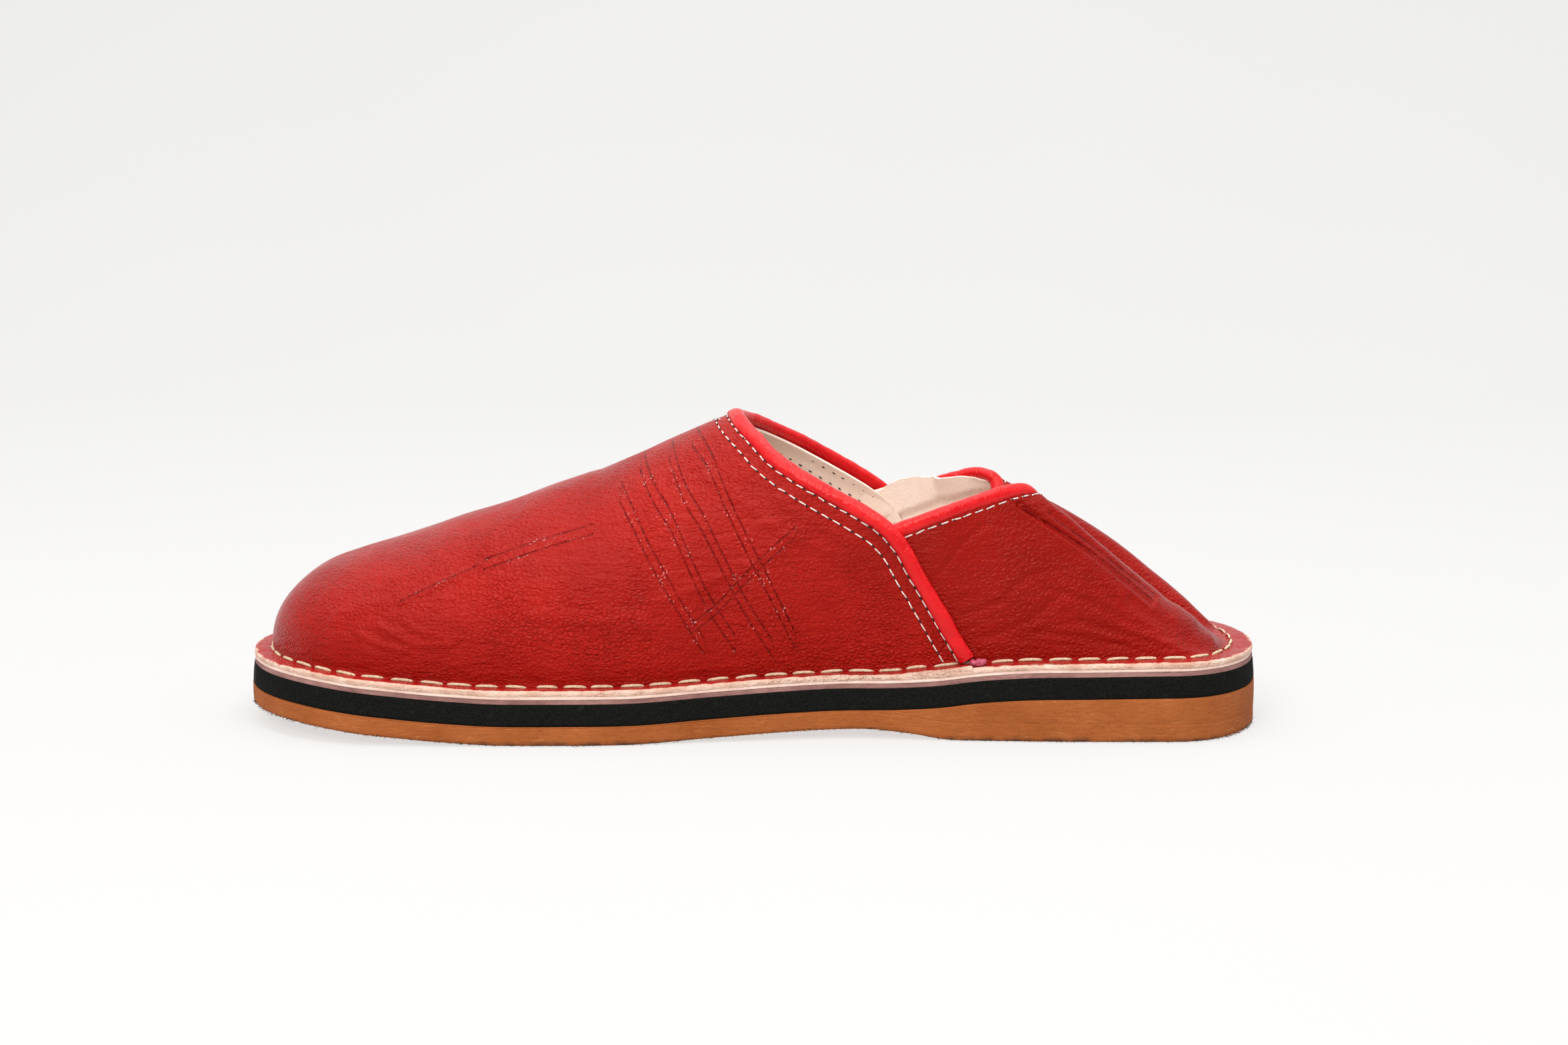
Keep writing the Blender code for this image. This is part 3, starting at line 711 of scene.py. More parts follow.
# Scored lines over the instep, double, or single where the half spacing is 0: the half
# spacing and the points as places from the toe and heights over the floor, in millimetres.
SCORES = (
    ("score_a", 1.15, ((108.9, 67.2), (113.8, 59.8), (117.6, 52.9), (122.3, 44.9), (133.9, 25.3))),
    ("score_b", 1.15, ((113.8, 75.3), (119.5, 66.0), (123.3, 61.0), (129.7, 48.3), (132.5, 42.4),
                       (142.1, 26.3))),
    ("score_c", 1.15, ((122.3, 78.3), (127.7, 67.0), (132.7, 59.7), (138.9, 48.2), (143.1, 40.1),
                       (152.6, 24.2))),
    ("score_d", 1.15, ((128.5, 81.9), (133.9, 76.1), (139.2, 65.4), (144.9, 54.3), (148.9, 46.8),
                       (158.8, 26.5))),
    ("score_x", 1.0, ((159.0, 57.9), (151.1, 51.0), (141.6, 41.6), (137.4, 37.1), (129.5, 30.9))),
    ("score_e", 1.2, ((71.6, 47.9), (87, 53.2), (102.6, 57.8))),
    ("score_f", 0.0, ((49.2, 38.4), (60, 43.5), (70.6, 47.9))),
)


def low_bulge(share):
    """Bulge that is 0 at both ends and 1 at a third of the way."""
    return 6.75 * share * (1 - share) ** 2


def upper_section(s, theta, inset, drop):
    """Point of the last-shaped skin at the angle theta over the foot, from the inner side
    (0) over the crown to the outer side (half a turn). It is a rounded arch between the two
    walls, pushed out above the stitching. drop lowers the crown for the skin's inside."""
    outer = np.cos(theta) < 0
    end = round_end((s - inset) / TOE_CAP_REACH, 2.5)
    crown = (INSTEP_HEIGHT * along(CROWN, 1, s) - drop) * end
    power = 2 / along(CROWN, 2, s)
    climb = np.clip(np.sin(theta), 0, 1) ** power
    reach = np.abs(np.cos(theta)) ** power
    rise = 1 - np.abs(2 * theta / math.pi - 1)
    bulge = SIDE_BULGE * along(CROWN, 3, s) * end * low_bulge(rise)
    width = half_width(s, outer, inset) * reach + bulge
    return place(s, np.where(outer, width, -width), foot_height(s) + crown * climb)


def upper_wall(s, height, outer, inset):
    """Point of the same skin at a height over the foot."""
    climb = np.clip(height / (INSTEP_HEIGHT * along(CROWN, 1, s)), 0, 1)
    theta = np.arcsin(climb ** (along(CROWN, 2, s) / 2))
    return upper_section(s, np.where(outer, math.pi - theta, theta), inset, 0)


def plain_vamp(s, theta):
    return upper_section(s, theta, FLANGE_WIDTH, 0)


def over_foot(points):
    return points[..., 2] - foot_height(from_toe(points))


def throat_place(theta):
    """Place along the sole at which the vamp's rear edge cuts the line at angle theta, found
    by halving, because the edge is a curve in the side view."""
    heights = column(THROAT, 0) * INSTEP_HEIGHT
    inner, outer = (column(THROAT, side) * SOLE_LENGTH for side in (1, 2))
    low = np.full(theta.shape, inner.min() - 4 * FLANGE_WIDTH)
    high = np.full(theta.shape, inner.max() + 2 * FLANGE_WIDTH)
    for _ in range(HALVINGS):
        middle = (low + high) / 2
        climbed = over_foot(plain_vamp(middle, theta))
        on_inner, on_outer = (smooth(heights, edge, climbed) for edge in (inner, outer))
        past = middle > np.where(np.cos(theta) < 0, on_outer, on_inner)
        high = np.where(past, middle, high)
        low = np.where(past, low, middle)
    return (low + high) / 2


def path_distance(x, z, points):
    """Distance in the side view from each place to a bent line, in millimetres."""
    best = np.full(x.shape, 1e3)
    for (x0, z0), (x1, z1) in zip(points[:-1], points[1:]):
        dx, dz = x1 - x0, z1 - z0
        t = np.clip(((x - x0) * dx + (z - z0) * dz) / (dx * dx + dz * dz), 0, 1)
        best = np.minimum(best, np.hypot(x - x0 - t * dx, z - z0 - t * dz))
    return best


def crease_relief(points, creases):
    """Folds of the inner side: the depth falls off as a bell curve, with a lip on each side
    that goes the other way."""
    x, z = from_toe(points) / MM, points[..., 2] / MM
    relief = np.zeros(x.shape)
    for width, depth, line in creases:
        near = (path_distance(x, z, line) / width) ** 2
        relief -= depth * MM * (1 - 1.2 * near) * np.exp(-near)
    return relief * (points[..., 1] < 2 * MM)


def foot_wrinkles(points, height, seed):
    """Fine level wrinkles just over the stitching, where the leather was pulled down."""
    fine = lumps(points, (7 * MM, 7 * MM, 1.5 * MM), seed)
    broad = lumps(points, (16 * MM, 16 * MM, 3 * MM), seed + 1)
    window = np.exp(-((height - 4 * MM) / (4 * MM)) ** 2)
    return (0.16 * fine + 0.22 * broad) * MM * window


def vamp_skin(s, theta):
    """Skin of the vamp, and its normal, which points into the shoe. Soft dents at two sizes,
    the creases and the foot's wrinkles move it along the normal, less near toe and foot."""
    s, theta = np.broadcast_arrays(s, theta)
    base = plain_vamp(s, theta)
    by_s = plain_vamp(s + 0.2 * MM, theta) - base
    turn = np.where(theta > math.pi / 2, -0.004, 0.004)
    by_theta = (plain_vamp(s, theta + turn) - base) * np.sign(turn)[..., None]
    normal = unit(np.cross(by_theta, by_s))
    height = base[..., 2] - foot_height(s)
    relief = 0.42 * MM * lumps(base, 26 * MM, 61) + 0.13 * MM * lumps(base, 9 * MM, 62)
    relief = relief + crease_relief(base, VAMP_CREASES) + foot_wrinkles(base, height, 63)
    fade = np.clip((s - FLANGE_WIDTH) / (9 * MM), 0, 1) * np.clip(height / (1.5 * MM), 0, 1)
    return base + normal * (relief * fade)[..., None], normal


def leather_sheet(name, front, back, pole, finish, slot):
    """Closed sheet from its front as a fine grid and its back as every few points of a like
    grid, with rims between the two. A pole's first row is one line of shared points."""
    rows, columns = front.shape[:2]
    coarse = back[::BACK_STEP, ::BACK_STEP]
    back_rows, back_columns = coarse.shape[:2]
    index = np.arange(rows * columns).reshape(rows, columns)
    behind = rows * columns + np.arange(back_rows * back_columns).reshape(back_rows, back_columns)
    quads = np.stack([index[:-1, :-1], index[:-1, 1:], index[1:, 1:], index[1:, :-1]], -1)
    inner = np.stack([behind[:-1, :-1], behind[1:, :-1], behind[1:, 1:], behind[:-1, 1:]], -1)
    faces = quads.reshape(-1, 4).tolist() + inner.reshape(-1, 4).tolist()
    rims = [(index[:, 0], behind[:, 0]), (index[::-1, -1], behind[::-1, -1])]
    rims.append((index[-1], behind[-1]))
    if not pole:
        rims.append((index[0, ::-1], behind[0, ::-1]))
    for fine, rough in rims:
        for k in range(len(rough) - 1):
            part = fine[k * BACK_STEP:(k + 1) * BACK_STEP + 1]
            faces.append([*part.tolist(), int(rough[k + 1]), int(rough[k])])
    points = np.concatenate([front.reshape(-1, 3), coarse.reshape(-1, 3)])
    return mesh_piece(name, points, faces, finish)


def flange_rows(angle, wall_inset, extra_inset, raise_by):
    """Points from the flange's lower outer edge round its rounded rim to the corner at the
    wall, row by row for each angle, worn by lumps that fade out at the wall."""
    rows = [(EDGE_DRAFT + step * MM, share) for step, share in RIM]
    for step in np.linspace(0.25, 1.0, 6):
        rows.append((EDGE_DRAFT + (wall_inset - EDGE_DRAFT) * step, 1.0))
    found = []
    for inset, share in rows:
        own_inset = inset + extra_inset * (inset < wall_inset)
        s, y = ring(angle, own_inset)
        low = lining_high(s) + 0.03 * MM
        base = place(s, y, low + (foot_height(s) + raise_by - low) * share)
        worn = lumps(base, 3.5 * MM, 71) * 0.16 + lumps(base, 14 * MM, 72) * 0.22
        worn = worn * MM * np.clip((wall_inset - inset) / (1.5 * MM), 0, 1)
        s, y = ring(angle, own_inset - 0.7 * worn)
        found.append(place(s, y, base[..., 2] + 0.8 * share * worn))
    return np.stack(found, axis=1)


def under_flange(rows):
    """The flange's underside: its rows laid flat on the lining."""
    flat = rows.copy()
    flat[..., 2] = lining_high(from_toe(flat)) + 0.02 * MM
    return flat


def doubled_flange(s):
    """Rise of the vamp's flange where it lies over the quarter's flange."""
    return DOUBLE_FLANGE_RISE * eased_step((s - DOUBLE_FLANGE_START) / DOUBLE_FLANGE_RAMP)


def mark(piece, name, values):
    """Stores one number per vertex, by the vertex's place, as an attribute for the shader."""
    layer = piece.data.attributes.new(name, "FLOAT", "POINT")
    layer.data.foreach_set("value", np.asarray(values, np.float32))


def vertex_places(piece):
    flat = np.empty(len(piece.data.vertices) * 3, np.float32)
    piece.data.vertices.foreach_get("co", flat)
    return flat.reshape(-1, 3).astype(float)


def mark_flange(piece):
    """Marks how near a vertex is to the flange's cut edge, and which ones are on the flange."""
    at = vertex_places(piece)
    s = from_toe(at)
    y = at[:, 1] + AXIS_SHIFT
    from_edge = half_width(s, y > 0, EDGE_DRAFT) - np.abs(y)
    end = np.minimum(s, SOLE_LENGTH - s) - EDGE_DRAFT
    from_edge = np.where(end < FLANGE_WIDTH * 1.3, np.minimum(from_edge, end), from_edge)
    over = over_foot(at)
    on_flange = over < 0.9 * MM
    edge = np.clip(1 - from_edge / (1.1 * MM), 0, 1) * on_flange
    mark(piece, "cut_edge", np.maximum(edge, np.clip(-over / (0.5 * MM) - 0.1, 0, 1)))
    mark(piece, "flange", on_flange)


def mark_scores(piece, scores):
    """Marks each scored line with the distance to it, signed by the side, so that the shader
    can draw lines much finer than the mesh. Ends and the outer side are marked far away."""
    at = vertex_places(piece)
    x, z = from_toe(at) / MM, at[:, 2] / MM
    for name, _, line in scores:
        knots, heights = np.array(sorted(line)).T
        dx, dz = np.array(line[-1]) - np.array(line[0])
        signed = (z - smooth(knots, heights, x)) / math.hypot(1, dz / dx)
        past = np.maximum(np.maximum(knots[0] - x, x - knots[-1]), 0)
        past = past + np.where(at[:, 1] > 0, 9.0, 0.0)
        mark(piece, name, signed + np.where(signed < 0, -past, past) * 30)


def drawn_lines(paint, scores):
    """How far each point lies in a scored line, and beside one, from 0 to 1."""
    lines, beside = None, None
    for label, half, _ in scores:
        away = paint.maths("ABSOLUTE", paint.attribute(label), 0)
        away = paint.maths("ABSOLUTE", paint.maths("SUBTRACT", away, half), 0)
        line, near = paint.spread(away, 0.36, 0.06), paint.spread(away, 1.2, 0.3)
        lines = line if lines is None else paint.maths("MAXIMUM", lines, line)
        beside = near if beside is None else paint.maths("MAXIMUM", beside, near)
    broken = paint.spread(paint.noise(600, 4, 0.7), 0.36, 0.60, 0.15, 1.0)
    return paint.maths("MULTIPLY", lines, broken), beside


def red_leather_finish(name, scores, pull, sparkle, tone):
    """Dyed sheepskin: a clouded red with a pebbled and crackled grain, fine level wrinkles of the
    depth pull, a thin uneven polish and a beige cut edge on the flange. Scored lines are dark, and
    on the quarter's folds that dark is painted crease shade. Pale painted glints of the strength
    sparkle lie beside the lines; tone scales the whole red."""
    paint = new_paint(name, 0.42)
    clouds = paint.noise(28, 5, 0.6)
    fine_clouds = paint.noise(150, 4, 0.6)
    pebbles = paint.cells(700, "DISTANCE_TO_EDGE", paint.stretched((1, 1, 1.2)))
    pebbles = paint.spread(pebbles, 0.0, 0.32)
    pores = paint.cells(1700, "SMOOTH_F1")
    patches = paint.spread(paint.noise(24, 3, 0.5), 0.40, 0.60, 0.35, 1.0)
    wrinkles = paint.grain((150, 150, 560), 5, 0.62, (0, 12, 0))
    cracks = paint.cells(370, "DISTANCE_TO_EDGE", paint.stretched((1, 1, 1.7), (0, -25, 0)))
    cracks = paint.maths("ADD", cracks, paint.maths("MULTIPLY", fine_clouds, 0.12))
    cracks = paint.maths("SUBTRACT", 1.0, paint.spread(cracks, 0.06, 0.14))
    cracks = paint.maths("MULTIPLY", paint.spread(paint.noise(34, 2, 0.5), 0.58, 0.72), cracks)
    crackle = paint.maths("SUBTRACT", 1.0, cracks)
    deep, light = (
        tuple(tone * value for value in red)
        for red in ((0.300, 0.0030, 0.0012), (0.440, 0.0080, 0.0040))
    )
    paint.cloud(clouds, 0.3, 0.72, deep, light)
    paint.stain(fine_clouds, 0.52, 0.75, 0.2, (0.235, 0.0022, 0.0012))
    # Darker between the pebbles: painted shade in the grain.
    paint.stain(pebbles, 0.30, 0.0, 0.05, (0.13, 0.0018, 0.0012))
    paint.stain(crackle, 1.0, 0.0, 0.04, (0.12, 0.0018, 0.0012))
    # Darker in the hollows of the wrinkles: painted crease shade.
    paint.stain(wrinkles, 0.40, 0.26, 0.16, (0.16, 0.0020, 0.0012))
    paint.cover(paint.maths("MULTIPLY", paint.attribute("flange"), 0.5), (0.40, 0.014, 0.012))
    lines, beside = drawn_lines(paint, scores)
    paint.cover(paint.maths("MULTIPLY", lines, 0.66), (0.070, 0.0020, 0.0020))
    # Pale flecks beside the lines are painted glints.
    rubbed_and_glint_patches = paint.spread(paint.noise(150, 3, 0.6), 0.50, 0.60)
    painted_glints = paint.maths("MULTIPLY", paint.spread(paint.cells(1150), 0.30, 0.16), rubbed_and_glint_patches)
    painted_glints = paint.maths("MULTIPLY", painted_glints, beside)
    paint.cover(paint.maths("MULTIPLY", painted_glints, sparkle), (0.85, 0.36, 0.33))
    worn = paint.spread(paint.noise(330, 4, 0.7), 0.35, 0.65, -0.35, 0.35)
    edge = paint.spread(paint.maths("ADD", paint.attribute("cut_edge"), worn), 0.35, 0.75)
    fibres = paint.spread(fine_clouds, 0.35, 0.65)
    paint.cover(edge, paint.mix(fibres, (0.56, 0.33, 0.24), (0.78, 0.56, 0.45)))
    polish = paint.spread(paint.noise(60, 4, 0.6), 0.35, 0.65, 0.25, 0.40)
    polish = paint.maths("ADD", polish, paint.maths("MULTIPLY", edge, 0.45))
    layers = [
        (wrinkles, pull),
        (paint.maths("MULTIPLY", pebbles, patches), 0.30 * pull),
        (crackle, 0.10 * MM),
        (pores, 0.03 * MM),
        (fine_clouds, 0.26 * pull),
        (paint.maths("MULTIPLY", lines, -1.0), 0.30 * MM),
    ]
    return paint.done(
        layers, Roughness=polish, Coat_Weight=0.06, Coat_Roughness=0.22,
        Specular_IOR_Level=0.25, Specular_Tint=(1.0, 0.30, 0.24, 1),
    )


vamp_theta = np.linspace(0, math.pi, VAMP_COLUMNS + 1)
vamp_end = throat_place(vamp_theta)


def vamp_grid():
    """Front and back of the vamp, from the inner flange over the crown to the outer one. The
    rows stand closer towards the toe."""
    walk = np.linspace(0, 1, VAMP_ROWS + 1)
    share = (walk * walk / (walk + 0.15) * 1.15)[:, None]
    s = FLANGE_WIDTH + share * (vamp_end - FLANGE_WIDTH)
    skin, _ = vamp_skin(s, vamp_theta)
    near_angle = ring_angle(s[:, 0], FLANGE_WIDTH)
    far_angle = 2 * math.pi - ring_angle(s[:, -1], FLANGE_WIDTH)
    near = flange_rows(near_angle, FLANGE_WIDTH, 0.0, doubled_flange(s[:, 0]))
    far = flange_rows(far_angle, FLANGE_WIDTH, 0.0, doubled_flange(s[:, -1]))[:, ::-1]
    deep = FLANGE_WIDTH + LEATHER_THICKNESS
    wall = upper_section(deep + share * (vamp_end - deep), vamp_theta, deep, LEATHER_THICKNESS)
    under_near, under_far = under_flange(near), under_flange(far)
    wall[:, 0, 2] = under_near[:, -1, 2]
    wall[:, -1, 2] = under_far[:, 0, 2]
    front = np.concatenate([near, skin, far], axis=1)
    return front, np.concatenate([under_near, wall, under_far], axis=1)


scored_leather = red_leather_finish("red_scored_leather", SCORES, 1.0 * MM, 0.8, 0.87)
vamp = leather_sheet("vamp", *vamp_grid(), True, scored_leather, "red_leather")
mark_flange(vamp)
mark_scores(vamp, SCORES)
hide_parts("upper")


# Vamp lining
# Undyed leather, suede side out, stuck behind the vamp. It shows inside the mouth, where it
# takes in the front of the quarter and bulges over it.

LINING_ROWS = 120
LINING_COLUMNS = 160
LINING_RISE = 2.0 * MM
LINING_TUCK = 0.9 * MM
LINING_THICKNESS = 0.75 * MM


def lap_lining(s):
    """Extra depth of the vamp where its lining takes in the front of the quarter."""
    depth = VAMP_STEP + QUARTER_THICKNESS + LAP_LINING - WALL_THICKNESS
    return depth * eased_step((s - LAP_FRONT + LAP_LENGTH) / LAP_LENGTH)


def vamp_lining():
    """The suede side, rubbed uneven, with the side against the leather behind it."""
    theta = np.linspace(0, math.pi, LINING_COLUMNS + 1)
    end = throat_place(theta) + LINING_RISE
    start = FLANGE_WIDTH + WALL_THICKNESS
    s = start + np.linspace(0, 1, LINING_ROWS + 1)[:, None] ** 1.5 * (end - start)
    tucked = LINING_TUCK * np.clip((s - end + 4 * MM) / (3 * MM), 0, 1)
    depth, drop = start + lap_lining(s) + tucked, WALL_THICKNESS + tucked
    inside = upper_section(s, theta, depth, drop)
    outside = upper_section(s, theta, depth - LINING_THICKNESS, drop - LINING_THICKNESS)
    rub = 0.18 * MM * lumps(inside, 7 * MM, 81) + 0.25 * MM * lumps(inside, 20 * MM, 82)
    inside[..., 1] -= np.sign(inside[..., 1]) * rub
    for sheet in (inside, outside):
        sheet[:, [0, -1], 2] = board_top(s[:, [0, -1]]) + GAP + 0.05 * MM
    leather_sheet("vamp_lining", inside, outside, True, natural_suede, "natural_leather")


vamp_lining()


# Quarter
# The back of the upper: one strip of the same red leather round the heel, taken in under the
# vamp at both ends. Its back is trodden down, so it folds in over two sloping ridges.

RIDGE_SPREAD = 44 * MM
TROUGH_CLEARANCE = 0.8 * MM
COLLAR_BINDING_HEIGHT = 4.0 * MM
INSOLE_THICKNESS = 1.0 * MM
QUARTER_INSET = FLANGE_WIDTH + VAMP_STEP
QUARTER_ROWS = 96
QUARTER_STEPS = 18
MIDDLE_TOP = 0.738
MIDDLE_BOW = 0.14
HIDDEN_FLANGE_END = 200 * MM
HIDDEN_FLANGE_INSET = 1.4 * MM

# The inner and the outer side of the fold: the side's sign, how far its crest slumps and
# comes forward, and how its ridge bows, as a share of the collar rise, and swells.
RIDGES = (
    # sign, slump, advance, bow, swell
    (-1, 0.0, 0.0, -0.05, -1.5 * MM),
    (1, 0.8 * MM, 7 * MM, 0.06, 1.7 * MM),
)

# Upright stretch of the quarter: place along the sole and the height of its
# leather edge over the foot, as a share of the collar rise.
WALL = (
    # along, edge
    (0.585, 0.72),
    (0.640, 0.84),
    (0.685, 0.93),
)

# Lines of leather from the foot of the quarter to its edge, from the side wall over the
# ridge of the fold and down to the middle of the trough. foot is a share of the half ring
# from toe to heel, top is a share of the sole's length, out is a share of half the ridge
# spread, up is a share of the collar rise, and bow_out and bow_up push the line's middle
# outwards and up, as shares of the same two.
FOLDS = (
    # foot, top, out, up, bow_out, bow_up
    (0.688, 0.728, 1.32, 0.985, 0.12, 0.00),
    (0.761, 0.752, 1.23, 1.020, 0.10, 0.02),
    (0.845, 0.768, 1.12, 1.025, 0.08, 0.07),
    (0.908, 0.778, 0.98, 1.000, 0.05, 0.13),
    (0.946, 0.779, 0.84, 0.920, 0.00, 0.13),
    (0.961, 0.772, 0.75, 0.740, 0.00, 0.11),
    (0.973, 0.762, 0.70, 0.440, 0.00, 0.10),
    (0.983, 0.752, 0.60, 0.170, 0.00, 0.12),
    (0.992, 0.742, 0.32, 0.095, 0.00, 0.14),
)

# Creases of the quarter's inner side, in the same form as the vamp's.
QUARTER_CREASES = (
    (1.1, 0.85, ((220, 65), (226, 61), (241, 51), (258, 37))),
    (1.0, 0.60, ((229, 62), (238, 55.5), (250, 45.5), (259, 38))),
    (3.2, -0.50, ((227, 66), (244, 54.5), (260, 41), (271, 31))),
    (3.4, -0.45, ((266, 33), (271, 29), (275, 26))),
    (2.6, 0.60, ((252, 38), (262, 31), (272, 24))),
    (1.6, 0.30, ((228, 42), (240, 38), (254, 31), (268, 25.5))),
    (1.4, 0.30, ((236, 33), (248, 29.5), (262, 25))),
    (1.3, 0.28, ((225, 30), (238, 28), (254, 25))),
    (1.5, 0.26, ((205, 34), (215, 38), (222, 45))),
    (1.3, 0.22, ((199, 47), (204, 54), (211, 60))),
    (1.8, 0.25, ((212, 28), (224, 33), (233, 41))),
    (2.5, 0.30, ((240, 44), (250, 36), (262, 29))),
)

# Sharp lines in the fold of the quarter's inner side, in the same form as the vamp's scores; their
# dark is painted crease shade.
FOLD_LINES = (
    ("fold_a", 0.0, ((221, 63.5), (232, 57), (245, 48), (258, 37.5))),
    ("fold_b", 0.0, ((230, 60.5), (240, 53.5), (250, 45.5), (259, 38.5))),
)


def bowed(foot, top, bow, share):
    """Line from foot to top whose middle is pushed by bow."""
    share = share[:, None]
    middle = (foot + top) / 2 + bow
    return foot * (1 - share) ** 2 + 2 * middle * share * (1 - share) + top * share**2


def quarter_lines(share):
    """The lines of leather from the inner lap round the heel to the outer lap, each with a
    point for every share of its height, and the ring angle of each foot."""
    half_spread = RIDGE_SPREAD / 2
    sides = []
    for sign, slump, advance, ridge_bow, swell in RIDGES:
        lines, angles = [], []
        for spot, edge in WALL:
            s = np.full(share.shape, spot * SOLE_LENGTH)
            lines.append(upper_wall(s, share * edge * COLLAR_RISE, sign > 0, QUARTER_INSET))
            angles.append(ring_angle(s[0], QUARTER_INSET))
        for foot, top, out, up, bow_out, bow_up in FOLDS:
            on_ridge = up > 0.5
            s, y = ring(foot * math.pi, QUARTER_INSET)
            heel = place(s, -sign * y, foot_height(s))
            s_top = top * SOLE_LENGTH - advance
            rise = up * COLLAR_RISE - slump * min(1, up)
            crest = place(s_top, sign * out * half_spread, foot_height(s_top) + rise)
            bow_rise = (bow_up + ridge_bow * on_ridge) * COLLAR_RISE
            push = np.array([0, sign * bow_out * half_spread, bow_rise])
            line = bowed(heel, crest, push, share)
            line[:, 2] += swell * on_ridge * low_bulge(share)
            lines.append(line)
            angles.append(foot * math.pi)
        sides.append((lines, angles))
    (inner, inner_angles), (outer, outer_angles) = sides
    s_top = MIDDLE_TOP * SOLE_LENGTH
    half_edge = (COLLAR_BINDING_HEIGHT + QUARTER_THICKNESS) / 2
    insole = board_top(s_top) + GAP + INSOLE_THICKNESS
    crest = place(s_top, 0, insole + GAP + half_edge + TROUGH_CLEARANCE)
    push = np.array([0, 0, MIDDLE_BOW * COLLAR_RISE])
    middle = bowed(on_ring(math.pi, QUARTER_INSET, foot_height), crest, push, share)
    turned = [2 * math.pi - angle for angle in outer_angles[::-1]]
    return np.array([*inner, middle, *outer[::-1]]), np.array([*inner_angles, math.pi, *turned])


def quarter_skin(share):
    """Outer skin of the quarter: a smooth sheet across the lines of leather, with its foot
    held on the ring. Returns the points and the ring angle of each column."""
    lines, angles = quarter_lines(share)
    spacing = np.linalg.norm(np.diff(lines, axis=0), axis=-1).mean(axis=1)
    knots = np.concatenate([[0], np.cumsum(spacing)])
    part = np.linspace(0, 1, QUARTER_STEPS, endpoint=False)
    spots = (knots[:-1, None] + part * np.diff(knots)[:, None]).ravel()
    spots = np.append(spots, knots[-1])
    skin, angle = smooth(knots, lines, spots), smooth(knots, angles, spots)
    slip = on_ring(angle, QUARTER_INSET, foot_height) - skin[:, 0]
    return skin + slip[:, None, :] * ((1 - share) ** 2)[:, None], angle


quarter_share = np.linspace(0, 1, QUARTER_ROWS + 1)
plain_quarter, quarter_angle = quarter_skin(quarter_share)
quarter_normal = unit(
    np.cross(np.gradient(plain_quarter, axis=0), np.gradient(plain_quarter, axis=1))
)


def quarter_relief():
    """Dents, creases and wrinkles, and gathers where the leather was pulled round the heel."""
    at = plain_quarter
    height = over_foot(at)
    relief = 0.38 * MM * lumps(at, 20 * MM, 91) + 0.14 * MM * lumps(at, 7 * MM, 92)
    relief = relief + crease_relief(at, QUARTER_CREASES) + foot_wrinkles(at, height, 93)
    heel = np.exp(-((quarter_angle / math.pi - 1) / 0.12) ** 2)[:, None]
    gathers = lumps(at, (9 * MM, 3 * MM, 9 * MM), 94) * heel * np.exp(-height / (9 * MM))
    return (relief + 0.35 * MM * gathers) * np.clip(quarter_share / 0.05, 0, 1)


quarter_front = plain_quarter + quarter_normal * quarter_relief()[..., None]


def quarter_sheet():
    """Front and back of the quarter with its flange, which steps back under the vamp's. The
    flange's first rows are left out, so that the back's coarser rows end with the front's."""
    s, _ = ring(quarter_angle, QUARTER_INSET)
    hidden = HIDDEN_FLANGE_INSET * (s < HIDDEN_FLANGE_END)
    rows = flange_rows(quarter_angle, QUARTER_INSET, hidden, -0.02 * MM)
    front = np.concatenate([rows, quarter_front], axis=1)
    wall = quarter_front - LEATHER_THICKNESS * quarter_normal
    wall[:, 0] = on_ring(
        quarter_angle, QUARTER_INSET + LEATHER_THICKNESS, lambda s: lining_high(s) + 0.02 * MM
    )
    back = np.concatenate([under_flange(rows), wall], axis=1)
    skip = (front.shape[1] - 1) % BACK_STEP
    return front[:, skip:], back[:, skip:]


# The quarter is the vamp's leather at a lower tone: the darker red is painted shade.
quarter_leather_painted_shade = red_leather_finish("red_quarter_leather_painted_shade", FOLD_LINES, 0.6 * MM, 0.0, 0.72)
quarter = leather_sheet("quarter", *quarter_sheet(), False, quarter_leather_painted_shade, "red_leather")
mark_flange(quarter)
mark_scores(quarter, FOLD_LINES)


# Quarter lining
# The same undyed suede behind the quarter. It is cut a little too tall, so round the outer
# ridge its raw edge curls up past the binding.

RAISED_EDGE = 2.2 * MM
RAISED_FROM = 0.58
RAISED_PLACE = 172 * MM
NOTCH_RAISE = 4.6 * MM
NOTCH_RAISE_END = 212 * MM
NOTCH_RAISE_LENGTH = 24 * MM
EDGE_LEAN = 1.45 * MM
LEAN_ROWS = 10
RAISED_SHARES = (0.10, 0.40, 0.72, 1.0)


